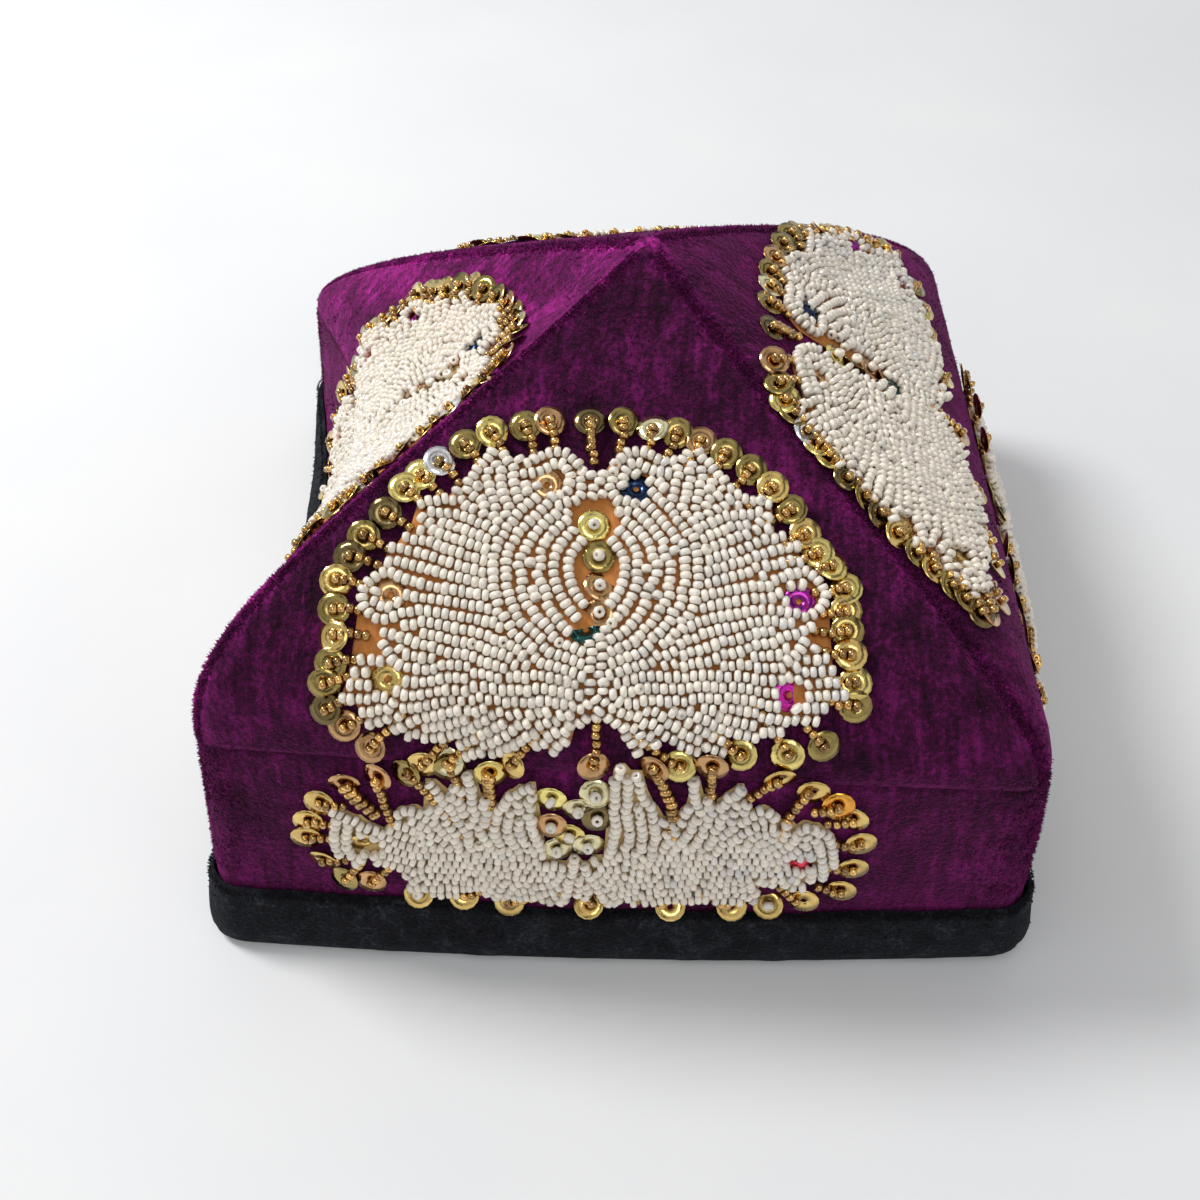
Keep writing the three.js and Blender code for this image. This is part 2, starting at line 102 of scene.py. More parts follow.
def camera_axes():
    """The camera's right, up and back, and its eye in mm."""
    back = np.array([math.sin(CAM_YAW) * math.cos(CAM_PITCH), -math.cos(CAM_YAW) * math.cos(CAM_PITCH),
                     math.sin(CAM_PITCH)])
    right = np.cross(-back, UP)
    right /= np.linalg.norm(right)
    over = np.cross(right, -back)
    turned = right * math.cos(CAM_ROLL) + over * math.sin(CAM_ROLL)
    upward = over * math.cos(CAM_ROLL) - right * math.sin(CAM_ROLL)
    return turned, upward, back, CAM_TARGET + back * CAM_DISTANCE


def to_pixels(points):
    """Where in the photograph the camera sees points."""
    right, over, back, eye = camera_axes()
    seen = points - eye
    depth = seen @ -back
    half = PHOTO_SIZE / 2
    return np.stack([half + FOCAL_PIXELS * (seen @ right) / depth,
                     half - FOCAL_PIXELS * (seen @ over) / depth], axis=-1)


def make_camera():
    right, over, back, eye = camera_axes()
    data = bpy.data.cameras.new("camera")
    data.sensor_width = SENSOR
    data.lens = FOCAL_PIXELS / PHOTO_SIZE * SENSOR
    data.clip_start = 0.01
    camera = bpy.data.objects.new("camera", data)
    bpy.context.scene.collection.objects.link(camera)
    turn = Matrix(np.stack([right, over, back], axis=1).tolist()).to_4x4()
    camera.matrix_world = Matrix.Translation(Vector((eye + CENTRING) * MM)) @ turn
    bpy.context.scene.camera = camera


# Form of the crown and the band, each as a function of shares of a side

def unit(vectors):
    return vectors / np.linalg.norm(vectors, axis=-1, keepdims=True)


def blend(low, high, share):
    return low + (high - low) * share


def walked(line):
    """How far along a line of points each of them lies."""
    return np.concatenate([[0], np.cumsum(np.linalg.norm(np.diff(line, axis=0), axis=1))])


def corner_cut(distance, radius):
    """How far a rounded square corner lies inside its sharp one, at a distance along a side."""
    return (math.sqrt(2) - 1) * radius * np.maximum(0, 1 - distance / radius) ** 2


class Ridge:
    """One curve from a corner of the seam to the apex, walked by its share of length."""

    def __init__(self, row):
        start = np.array([row["x"], row["y"], 0]) * row["out"] * RIM_HALF
        foot = APEX * [1, 1, 0]

        def inward(share, height):
            return blend(start, foot, share) + UP * height * CROWN_HEIGHT

        self.points = np.array([inward(0, row["seam"]), inward(row["lean"], row["seam"] + row["rise"]),
                                inward(1 - row["hold"], 1 - row["drop"]), APEX])
        self.steps = np.linspace(0, 1, 400)
        walk = np.linalg.norm(np.diff(self.bezier(self.steps), axis=0), axis=1)
        self.lengths = np.concatenate([[0], np.cumsum(walk)]) / walk.sum()
        self.diagonal = unit(start - foot)
        self.radius = row["radius"] * RIM_HALF

    def bezier(self, step):
        s = np.asarray(step)[..., None]
        a, b, c, d = self.points
        return (1 - s) ** 3 * a + 3 * (1 - s) ** 2 * s * b + 3 * (1 - s) * s * s * c + s ** 3 * d

    def at(self, rise):
        return self.bezier(np.interp(rise, self.lengths, self.steps))

    def frame(self, rise):
        step = 0.001
        ahead = self.at(np.clip(rise + step, 0, 1))
        tangent = unit(ahead - self.at(np.clip(rise - step, 0, 1)))
        steep = tangent[..., 2]
        normal = self.diagonal * steep[..., None] + UP * np.sqrt(1 - steep ** 2)[..., None]
        return self.at(rise), normal, steep


RIDGES = [Ridge(row) for row in CORNERS]


def side_ridges(side):
    return RIDGES[side], RIDGES[(side + 1) % 4]


def panel_width(side, rise):
    low, high = side_ridges(side)
    return np.linalg.norm(high.at(rise) - low.at(rise), axis=-1)


def crease_depth(side, rise, across, width):
    """How deep the creases of a panel press into it."""
    depth = np.zeros_like(rise)
    for row in CREASES:
        if row["side"] != SIDES[side]["name"]:
            continue
        place = np.stack([across * width, rise * CROWN_HEIGHT], axis=-1)
        start = np.stack([row["start"][1] * width, row["start"][0] * CROWN_HEIGHT + 0 * width], axis=-1)
        end = np.stack([row["end"][1] * width, row["end"][0] * CROWN_HEIGHT + 0 * width], axis=-1)
        line = end - start
        share = ((place - start) * line).sum(-1) / (line ** 2).sum(-1)
        near = start + line * np.clip(share, 0, 1)[..., None]
        far = np.linalg.norm(place - near, axis=-1) / (row["reach"] * RIM_HALF)
        depth = depth + row["depth"] * RIM_HALF * np.exp(-far ** 2)
    return depth


def crown_point(side, rise, across):
    """The crown panel's outer face, from the seam (rise 0) to the apex (rise 1)."""
    rise, across = np.broadcast_arrays(np.asarray(rise, float), np.asarray(across, float))
    row = SIDES[side]
    outward = np.array(row["out"], float)
    ends = []
    frames = [(ridge, *ridge.frame(rise)) for ridge in side_ridges(side)]
    width = np.linalg.norm(frames[1][1] - frames[0][1], axis=-1)
    for ridge, point, normal, steep in frames:
        radius = blend(SEAM_RADIUS, ridge.radius, np.minimum(1, 5 * rise))
        radius = np.minimum(radius, 0.45 * width + 0.001)
        sharp = point + normal * (corner_cut(0, radius) * steep)[..., None]
        ends.append((sharp, normal, steep, radius))
    point = blend(ends[0][0], ends[1][0], across[..., None])
    for (sharp, normal, steep, radius), share in zip(ends, (across, 1 - across)):
        point = point - normal * (corner_cut(share * width, radius) * steep)[..., None]
    crown = np.maximum(0, 4 * across * (1 - across))
    fading = (1 - rise) ** 3
    point = point + outward * (row["bow"] * RIM_HALF * fading * crown ** BOW_SHARPNESS)[..., None]
    point = point + UP * (row["lift"] * CROWN_HEIGHT * fading * crown)[..., None]
    facing = outward * math.sin(PANEL_PITCH) + UP * math.cos(PANEL_PITCH)
    hollow = row["sag"] * RIM_HALF + crease_depth(side, rise, across, width)
    return point - facing * (hollow * crown * np.sin(np.pi * np.clip(rise, 0, 1)))[..., None]


def seam_outward(side, across):
    """Level directions out from the seam."""
    step = 0.004
    inside = np.clip(across, step, 1 - step)
    along = crown_point(side, 0 * across, inside + step) - crown_point(side, 0 * across, inside - step)
    outward = np.cross(unit(along * [1, 1, 0]), UP)
    left, right = side_ridges(side)
    outward = np.where((across <= 0)[..., None], left.diagonal, outward)
    return np.where((across >= 1)[..., None], right.diagonal, outward)


def rim_point(side, across, inset, height):
    """The rim's outline at a height, set in from the edge of the binding."""
    outward = np.array(SIDES[side]["out"], float)
    left, right = CORNERS[side], CORNERS[(side + 1) % 4]
    half = RIM_HALF - inset
    x = blend(left["x"] * left["rim"], right["x"] * right["rim"], across) * half
    y = blend(left["y"], right["y"], across) * half
    point = np.stack([x, y, height + 0 * across], axis=-1)
    point = point + outward * (SIDES[side]["edge"] * RIM_HALF * 4 * across * (1 - across))[..., None]
    for row, share in ((left, across), (right, 1 - across)):
        diagonal = unit(np.array([row["x"], row["y"], 0.0]))
        point = point - diagonal * corner_cut(share * 2 * half, RIM_RADIUS - inset)[..., None]
    return point


def band_point(side, rise, across):
    """The band's outer face, from its lower edge (rise 0) to the seam (rise 1)."""
    rise, across = np.broadcast_arrays(np.asarray(rise, float), np.asarray(across, float))
    row = SIDES[side]
    low = rim_point(side, across, BAND_INSET, BAND_BASE)
    high = crown_point(side, 0 * across, across)
    above = np.clip((rise - BELLY_START) / (1 - BELLY_START), 0, 1)
    swell = row["belly"] * RIM_HALF * 4 * across * (1 - across) * np.sin(np.pi * above)
    return low + (high - low) * rise[..., None] + np.array(row["out"]) * swell[..., None]


def binding_section():
    """Inset from the band's outer face and height, once round the folded strip, with soft turns."""
    outside = -SEAM_GAP - BINDING_THICK
    inside = CLOTH + SEAM_GAP + BINDING_THICK
    middle = CLOTH / 2
    tall, deep = BINDING_HEIGHT, BINDING_INSIDE
    return np.array([
        [-SEAM_GAP, tall - 0.6], [outside + 1.2, tall], [outside + 0.5, tall - 0.5],
        [outside + 0.2, tall * 0.88], [outside, tall * 0.72], [outside - 0.35, tall * 0.5],
        [outside - BINDING_PUFF, tall * 0.3], [outside - 0.3, tall * 0.14],
        [outside + 0.4, 0.7], [outside + 1.1, 0.15], [middle, 0], [inside - 0.7, 0.2], [inside - 0.1, 1.0],
        [inside, deep * 0.4], [inside - 0.3, deep * 0.8], [inside - BINDING_PUFF, deep],
        [CLOTH + SEAM_GAP, deep], [CLOTH + SEAM_GAP, BINDING_THICK], [-SEAM_GAP, BINDING_THICK],
    ])


# Places on a panel or on the band, from mm to the right of its middle and mm up

def surface_frame(place, right, up, offset):
    """Points at an offset from the cloth, with unit vectors to the right, up the cloth and off it."""
    step = 0.4
    across = unit(place(right + step, up) - place(right - step, up))
    along = place(right, up + step) - place(right, up - step)
    normal = unit(np.cross(across, along))
    point = place(right, up) + normal * np.asarray(offset, float)[..., None]
    return point, across, np.cross(normal, across), normal


def panel_rise(side, count):
    """The function from mm up a crown panel's middle to its rise, measured in count steps."""
    rises = np.linspace(0, 1, count)
    lengths = walked(crown_point(side, rises, 0.5))
    return lambda up: np.interp(up, lengths, rises)


def panel_place(side):
    """The function from mm on a crown panel to the point there."""
    rise_at = panel_rise(side, 200)

    def place(right, up):
        rise = rise_at(up)
        return crown_point(side, rise, 0.5 + right / np.maximum(panel_width(side, rise), 1))

    return place


def band_place(side):
    """The function from mm on the band to the point there, raised to clear the binding's top edge."""
    low, high = band_point(side, 0, 0.5)[2], band_point(side, 1, 0.5)[2]

    def place(right, up):
        rise = (up - low) / (high - low)
        width = np.linalg.norm(band_point(side, rise, 1) - band_point(side, rise, 0), axis=-1)
        over = np.clip((BINDING_HEIGHT + BINDING_RAMP - up) / BINDING_RAMP, 0, 1)
        raised = BAND_INSET * over * over * (3 - 2 * over)
        return band_point(side, rise, 0.5 + right / width) + np.array(SIDES[side]["out"]) * raised[..., None]

    return place


# Mesh helpers

def add_mesh(name, points, faces, material, tints=None, replaces=(), nap=None):
    """A smooth mesh from points in mm. tints gives each point a colour, and nap its place across
    and along the cloth, in mm. Materials read both."""
    mesh = bpy.data.meshes.new(name)
    mesh.from_pydata(((np.asarray(points) + CENTRING) * MM).tolist(), [], faces)
    mesh.polygons.foreach_set("use_smooth", np.ones(len(mesh.polygons), bool))
    if tints is not None:
        layer = mesh.color_attributes.new("tint", "FLOAT_COLOR", "POINT")
        rgba = np.concatenate([tints, np.ones((len(tints), 1))], axis=1)
        layer.data.foreach_set("color", rgba.astype(np.float32).ravel())
    if nap is not None:
        layer = mesh.attributes.new("nap", "FLOAT_VECTOR", "POINT")
        layer.data.foreach_set("vector", (nap * MM).astype(np.float32).ravel())
    mesh.materials.append(material)
    mesh.validate()
    piece = bpy.data.objects.new(name, mesh)
    bpy.context.scene.collection.objects.link(piece)
    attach(piece, "root")
    if replaces:
        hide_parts(*replaces)
    return piece


def grid_faces(rows, columns, wrap=False, start=0):
    """Faces of a grid of points stored row by row. wrap joins the last column to the first."""
    row = np.arange(rows - 1)[:, None] * columns
    column = np.arange(columns if wrap else columns - 1)[None, :]
    after = (column + 1) % columns
    faces = np.stack([row + column, row + after, row + columns + after, row + columns + column], axis=-1)
    return (faces.reshape(-1, 4) + start).tolist()


def rim_of_grid(rows, columns):
    """Rows and columns round the edge of a grid, anticlockwise."""
    bottom = [(0, c) for c in range(columns - 1)]
    right = [(r, columns - 1) for r in range(rows - 1)]
    top = [(rows - 1, c) for c in range(columns - 1, 0, -1)]
    left = [(r, 0) for r in range(rows - 1, 0, -1)]
    return [(r, c) for r, c in bottom + right + top + left]


def cloth_faces(rows, columns, coarse):
    """Faces of a cloth wall: a fine outer grid, an inner grid with one point in every coarse ones,
    and fans that close the wall round its edge."""
    inner_rows, inner_columns = (rows - 1) // coarse + 1, (columns - 1) // coarse + 1
    start = rows * columns
    faces = grid_faces(rows, columns)
    faces += [face[::-1] for face in grid_faces(inner_rows, inner_columns, start=start)]
    edge = rim_of_grid(rows, columns)
    for first in range(0, len(edge), coarse):
        span = [edge[(first + step) % len(edge)] for step in range(coarse + 1)]
        outer = [r * columns + c for r, c in span]
        (r0, c0), (r1, c1) = span[0], span[-1]
        inner = [start + r // coarse * inner_columns + c // coarse for r, c in ((r0, c0), (r1, c1))]
        faces.append(outer[::-1] + inner)
    return faces


def add_copies(name, shape, faces, centres, axes, material, tints, replaces=()):
    """One mesh of many copies of a shape, each with its centre, three directions and tint."""
    points = centres[:, None, :] + np.einsum("pk,nkj->npj", shape, axes)
    offsets = np.arange(len(centres)) * len(shape)
    joined = [[corner + offset for corner in face] for offset in offsets.tolist() for face in faces]
    tints = np.repeat(tints, len(shape), axis=0)
    return add_mesh(name, points.reshape(-1, 3), joined, material, tints, replaces)


def turned(profile, sides):
    """A closed ring: profile points (along the axis, radius) turned about the first axis."""
    angle = np.arange(sides) * 2 * np.pi / sides
    points = [[x, r * math.cos(a), r * math.sin(a)] for x, r in profile for a in angle]
    faces = []
    for row in range(len(profile)):
        after = (row + 1) % len(profile)
        for side in range(sides):
            beside = (side + 1) % sides
            faces.append([row * sides + side, after * sides + side,
                          after * sides + beside, row * sides + beside])
    return np.array(points), faces


def ripple(points, size, seed, octaves):
    """Smooth noise of about -1 to 1 at points in mm, with features of that size."""
    offset = Vector((seed * 17.3, seed * 5.1, seed * 9.7))
    places = [Vector(point) / size + offset for point in points.tolist()]
    return np.array([noise.fractal(place, 0.7, 2.1, octaves) for place in places])


# Materials

class Look:
    """A material and its shader, with methods that add the textures that feed the shader."""

    def __init__(self, name, **inputs):
        self.material = bpy.data.materials.new(name)
        self.material.use_nodes = True
        self.nodes, self.links = self.material.node_tree.nodes, self.material.node_tree.links
        self.shader = self.nodes["Principled BSDF"]
        for socket, value in inputs.items():
            self.shader.inputs[socket.replace("_", " ")].default_value = value

    def noise(self, scale, detail, roughness, stretch=(1, 1, 1), distortion=0.0, nap=False):
        """Noise in object space, or in the nap's; scale is features a metre."""
        coordinate = self.nodes.new("ShaderNodeAttribute" if nap else "ShaderNodeTexCoord")
        if nap:
            coordinate.attribute_name = "nap"
        mapping = self.nodes.new("ShaderNodeMapping")
        mapping.inputs["Scale"].default_value = stretch
        texture = self.nodes.new("ShaderNodeTexNoise")
        for socket, value in (("Scale", scale), ("Detail", detail), ("Roughness", roughness),
                              ("Distortion", distortion)):
            texture.inputs[socket].default_value = value
        self.links.new(coordinate.outputs["Vector" if nap else "Object"], mapping.inputs["Vector"])
        self.links.new(mapping.outputs["Vector"], texture.inputs["Vector"])
        return texture.outputs["Fac"]

    def ramp(self, value, *stops):
        return colour_ramp(self.nodes, self.links, value, stops)

    def mix(self, kind, factor, first, second):
        mix = self.nodes.new("ShaderNodeMix")
        mix.data_type = "RGBA"
        mix.blend_type = kind
        mix.inputs["Factor"].default_value = factor
        for socket, value in (("A", first), ("B", second)):
            self.links.new(value, next(p for p in mix.inputs if p.name == socket and p.type == "RGBA"))
        return next(plug for plug in mix.outputs if plug.type == "RGBA")

    def tinted(self, colour):
        """The colour multiplied by the mesh's own tints."""
        attribute = self.nodes.new("ShaderNodeAttribute")
        attribute.attribute_name = "tint"
        return self.mix("MULTIPLY", 1.0, colour, attribute.outputs["Color"])

    def bump(self, height, strength, distance):
        bump = self.nodes.new("ShaderNodeBump")
        bump.inputs["Strength"].default_value = strength
        bump.inputs["Distance"].default_value = distance
        self.links.new(height, bump.inputs["Height"])
        self.links.new(bump.outputs["Normal"], self.shader.inputs["Normal"])

    def coloured(self, colour):
        """The finished material, with its colour."""
        self.links.new(colour, self.shader.inputs["Base Color"])
        return self.material


def colour_ramp(nodes, links, value, stops):
    ramp = nodes.new("ShaderNodeValToRGB")
    elements = ramp.color_ramp.elements
    while len(elements) < len(stops):
        elements.new(0.5)
    for element, (place, colour) in zip(elements, stops):
        element.position = place
        element.color = (*colour, 1)
    links.new(value, ramp.inputs["Fac"])
    return ramp.outputs["Color"]


def crushed_velvet():
    """Silk velvet: fine speckled pile, streaks along the nap and pressed patches that catch the light."""
    look = Look("crushed_velvet", Roughness=0.8, Specular_IOR_Level=0.12, Sheen_Weight=0.32,
                Sheen_Roughness=0.35, Sheen_Tint=(0.9, 0.1, 0.6, 1))
    patches = look.noise(95, 6, 0.62, distortion=0.4)
    streaks = look.noise(620, 4, 0.65, stretch=(1, 0.16, 1), nap=True)
    pile = look.noise(1250, 3, 0.75)
    look.bump(pile, 0.8, 0.0009)
    grain = look.mix("MIX", 0.36, look.mix("MIX", 0.5, streaks, patches), pile)
    # The mesh's tints bring in each panel's painted light and shade and the painted sheen along the ridges
    return look.coloured(look.tinted(look.ramp(
        grain, (0.4, (0.012, 0.0008, 0.008)), (0.5, (0.062, 0.003, 0.04)), (0.6, (0.2, 0.009, 0.13)))))


def binding_velvet():
    """Worn cotton velvet, nearly black, with a blue-grey bloom in patches."""
    look = Look("binding_velvet", Roughness=0.9, Specular_IOR_Level=0.1, Sheen_Weight=0.06,
                Sheen_Roughness=0.5, Sheen_Tint=(0.55, 0.62, 0.75, 1))
    patches = look.noise(210, 7, 0.72, distortion=0.5)
    pile = look.noise(1500, 3, 0.75)
    look.bump(pile, 0.8, 0.0008)
    return look.coloured(look.ramp(
        look.mix("MIX", 0.4, patches, pile), (0.42, (0.003, 0.003, 0.004)), (0.53, (0.009, 0.009, 0.012)),
        (0.66, (0.045, 0.048, 0.058))))


def glass_white():
    """Pearly opaque glass with a wet gloss; each bead's own colour comes with the mesh."""
    look = Look("white_glass", Roughness=0.24, Specular_IOR_Level=0.7, Coat_Weight=1.0, Coat_Roughness=0.03)
    veil = look.ramp(look.noise(900, 2, 0.5), (0.3, (0.86, 0.86, 0.86)), (0.7, (1.0, 1.0, 1.0)))
    return look.coloured(look.tinted(veil))


def gold_glass():
    """Small bronze-gold beads of clear glass lined with silver."""
    look = Look("gold_glass", Metallic=0.9, Roughness=0.2, Coat_Weight=1.0, Coat_Roughness=0.03)
    colour = look.ramp(look.noise(900, 2, 0.6), (0.35, (0.28, 0.12, 0.02)), (0.6, (0.75, 0.45, 0.13)))
    return look.coloured(look.tinted(colour))


def sequin_metal():
    """Metallised plastic discs, scuffed and a little cloudy; each disc's colour comes with the mesh, and in
    the gold discs holds painted reflection too.
    """
    look = Look("sequin_metal", Metallic=1.0, Roughness=0.16, Coat_Weight=0.4, Coat_Roughness=0.04)
    wear = look.ramp(look.noise(420, 4, 0.6), (0.3, (0.7, 0.66, 0.6)), (0.6, (1.0, 1.0, 1.0)))
    look.bump(look.noise(1800, 3, 0.7), 0.12, 0.0002)
    return look.coloured(look.tinted(wear))


def template_paper():
    """Soft old paper with fibres, under the beads."""
    look = Look("template_paper", Roughness=0.9, Specular_IOR_Level=0.2)
    fibres = look.noise(1100, 4, 0.7, stretch=(1, 0.3, 1))
    look.bump(fibres, 0.3, 0.0002)
    return look.coloured(look.tinted(look.ramp(fibres, (0.3, (0.72, 0.68, 0.6)), (0.7, (1.0, 1.0, 1.0)))))


def pale_floor():
    look = Look("pale_floor", Roughness=0.7, Specular_IOR_Level=0.25)
    grain = look.noise(14, 5, 0.5)
    return look.coloured(look.ramp(grain, (0.3, (0.76, 0.765, 0.775)), (0.7, (0.8, 0.8, 0.8))))


# Cloth

GORE_ROWS, GORE_COLUMNS, COARSE = 121, 121, 6
BAND_ROWS, BAND_COLUMNS = 25, 97
CRUSH_DEPTH = 0.22
SEAM_PINCH = 0.5
SEAM_PINCH_REACH = 1.3
# Painted light and shade: how bright each crown panel's pile is made, as the light and the velvet's sheen
# fall on that side; the left panel is lit most
PANEL_PAINTED_LIGHT = dict(front=0.68, right=0.78, back=1.0, left=2.0)
# Painted sheen: the pile along the ridges is made brighter, for the sheen that catches a fold
RIDGE_PAINTED_SHEEN = 1.5
RIDGE_REACH = 2.0


def pile_tints(points, size, seed, level):
    """Lighter and darker strokes of the pile, as a grey multiplier at each point, times the level given; on
    the crown panels that level is each side's painted light and shade.
    """
    strokes = ripple(points, size, seed, 4)
    return np.repeat(np.clip(level * (1 + 0.55 * strokes), 0.3, 3)[:, None], 3, axis=1)


def gore_grid():
    """Shares up and across a gore, with rows of points closer together by its seams."""
    rise = np.linspace(0, 1, GORE_ROWS)
    across = np.linspace(0, 1, GORE_COLUMNS)
    across = across - 0.1 * np.sin(2 * np.pi * across) / (2 * np.pi) * 2
    return np.meshgrid(rise, across, indexing="ij")


def crown_normal(side, rise, across):
    """Directions straight out of a crown panel."""
    step = 0.003
    row, column = np.clip(rise, step, 1 - 4 * step), np.clip(across, step, 1 - step)
    upward = crown_point(side, row + step, column) - crown_point(side, row - step, column)
    sideways = crown_point(side, row, column + step) - crown_point(side, row, column - step)
    return unit(np.cross(sideways, upward))


def crown_gore(side, material):
    """One crown panel: its seams pinched in, its face crushed, its inside plain."""
    name = SIDES[side]["name"]
    rise, across = gore_grid()
    outer = crown_point(side, rise, across)
    normal = crown_normal(side, rise, across)
    width = panel_width(side, rise)
    for ridge, share in zip(side_ridges(side), (across, 1 - across)):
        near = ridge.frame(rise)[1]
        clear = np.clip(share * width / (2 * CLOTH), 0, 1)[..., None]
        normal = unit(np.where(share[..., None] < 0.5, blend(near, normal, clear), normal))
        outer = outer - normal * (SEAM_PINCH * np.exp(-(share * width / SEAM_PINCH_REACH) ** 2))[..., None]
    flat = outer.reshape(-1, 3)
    away = np.minimum(np.minimum(across, 1 - across) * width, rise * CROWN_HEIGHT).ravel()
    fade = np.clip(away / 4, 0, 1) * np.clip((1 - rise.ravel()) * 20, 0, 1)
    crush = ripple(flat, 7, side + 1, 4) * CRUSH_DEPTH * fade
    flat = flat + normal.reshape(-1, 3) * crush[:, None]
    inner = (outer - normal * CLOTH)[::COARSE, ::COARSE].reshape(-1, 3)
    points = np.concatenate([flat, inner])
    # Painted light and shade in the tints: each panel's own level, and a painted sheen along both ridges
    tints = pile_tints(points, 9, side + 11, PANEL_PAINTED_LIGHT[name])
    painted_ridge_sheen = 1 + RIDGE_PAINTED_SHEEN * np.exp(-(np.minimum(across, 1 - across) * width / RIDGE_REACH) ** 2)
    tints[:len(flat)] *= painted_ridge_sheen.reshape(-1, 1)
    spread = np.stack([(across - 0.5) * width, rise * CROWN_HEIGHT, 0 * rise + 40 * side], axis=-1)
    nap = np.concatenate([spread.reshape(-1, 3), spread[::COARSE, ::COARSE].reshape(-1, 3)])
    faces = cloth_faces(GORE_ROWS, GORE_COLUMNS, COARSE)
    add_mesh(f"velvet_gore_{name}", points, faces, material, tints, [f"crown_gore_{name}"], nap)


def round_the_cap(count):
    """Side and share across it, for count places on each side in turn."""
    shares = np.linspace(0, 1, count, endpoint=False)
    return [(side, shares) for side in range(4)]


def velvet_band(material):
    """The band, once round, with a crushed face and a plain inside."""
    rows, per_side = BAND_ROWS, BAND_COLUMNS - 1
    rises = np.linspace(0, 1, rows)
    outer, normals = [], []
    for side, shares in round_the_cap(per_side):
        rise, across = np.meshgrid(rises, shares, indexing="ij")
        outer.append(band_point(side, rise, across))
        normals.append(np.broadcast_to(seam_outward(side, shares)[None], outer[-1].shape))
    outer, normals = np.concatenate(outer, axis=1), np.concatenate(normals, axis=1)
    columns = outer.shape[1]
    flat, facing = outer.reshape(-1, 3), normals.reshape(-1, 3)
    fade = np.repeat(np.sin(np.pi * rises), columns)
    crushed = flat + facing * (ripple(flat, 9, 21, 4) * CRUSH_DEPTH * fade)[:, None]
    inner = (outer - normals * CLOTH).reshape(-1, 3)
    points = np.concatenate([crushed, inner])
    start = rows * columns
    faces = grid_faces(rows, columns, True) + [f[::-1] for f in grid_faces(rows, columns, True, start)]
    for row, flip in ((0, 1), (rows - 1, -1)):
        for column in range(columns):
            after = (column + 1) % columns
            place = row * columns
            face = [place + column, start + place + column, start + place + after, place + after]
            faces.append(face[::flip])
    tints = pile_tints(points, 11, 23, 0.8)
    round_band = np.tile(walked(outer[0]), rows)
    nap = np.stack([round_band, outer.reshape(-1, 3)[:, 2], np.full(rows * columns, 200.0)], axis=1)
    add_mesh("velvet_band", points, faces, material, tints, ["band"], np.tile(nap, (2, 1)))


def band_at_height(side, across, height):
    """The band's outer face at a height, or the same slope carried on below it."""
    low, high = band_point(side, 0 * across, across), band_point(side, 0 * across + 1, across)
    share = (height - low[:, 2]) / (high[:, 2] - low[:, 2])
    return low + (high - low) * share[:, None]


def velvet_binding(material):
    """The folded binding, a section swept round the cap, with slack waves along it."""
    per_side = 120
    section = binding_section()
    loops = []
    for side, shares in round_the_cap(per_side):
        outward = seam_outward(side, shares)
        for inset, height in section:
            point = band_at_height(side, shares, height) - outward * inset
            point[:, 2] = height
            loops.append(point)
    rows, columns = len(section), per_side * 4
    grid = np.stack([np.concatenate(loops[row::rows]) for row in range(rows)])
    flat = grid.reshape(-1, 3)
    waves = ripple(flat, 14, 31, 3)
    outside = np.repeat((section[:, 0] < 0) & (section[:, 1] > 1), columns)
    middle = grid[:, :, :2].mean(axis=0)
    outward = np.concatenate([unit(middle), np.zeros((columns, 1))], axis=1)
    flat = flat + np.tile(outward, (rows, 1)) * (waves * 0.35 * outside)[:, None]
    top_edge = np.repeat(section[:, 1] > BINDING_HEIGHT - 1, columns)
    flat[:, 2] += np.where(top_edge, ripple(flat, 20, 33, 2) * 0.7, 0)
    faces = [face[::-1] for face in grid_faces(rows, columns, True)]
    last = (rows - 1) * columns
    for column in range(columns):
        after = (column + 1) % columns
        faces.append([column, last + column, last + after, after][::-1])
    add_mesh("velvet_binding", flat, faces, material, None, ["binding"])


# Pile. Small tufts that stand off the velvet, most of them along its ridges and edges

TUFT_SIDES = 3
TUFT_LENGTH = 0.5
TUFT_THICK = 0.16


def tufts(name, roots, normals, material, tint, seed, length=TUFT_LENGTH):
    """Closed cones from their roots, each with its own lean."""
    draw = np.random.default_rng(seed)
    count = len(roots)
    lean = unit(normals + draw.normal(0, 0.38, (count, 3)))
    beside = unit(np.cross(lean, unit(draw.normal(0, 1, (count, 3)))))
    other = np.cross(lean, beside)
    tall = length * draw.uniform(0.5, 1.3, count)[:, None]
    wide = TUFT_THICK * draw.uniform(0.7, 1.3, count)[:, None]
    sunk = roots - normals * length * 0.25
    corners = [sunk + wide * (beside * math.cos(a) + other * math.sin(a))
               for a in np.arange(TUFT_SIDES) * 2 * np.pi / TUFT_SIDES]
    points = np.stack(corners + [sunk + lean * (tall + length * 0.25)], axis=1).reshape(-1, 3)
    shape = [[0, 1, 3], [1, 2, 3], [2, 0, 3], [2, 1, 0]]
    faces = [[corner + 4 * at for corner in face] for at in range(count) for face in shape]
    tints = np.repeat(np.clip(draw.normal(tint, 0.3 * tint, (count, 1)), 0.2, 4) * np.ones((1, 3)), 4, axis=0)
    add_mesh(name, points, faces, material, tints, (), points)


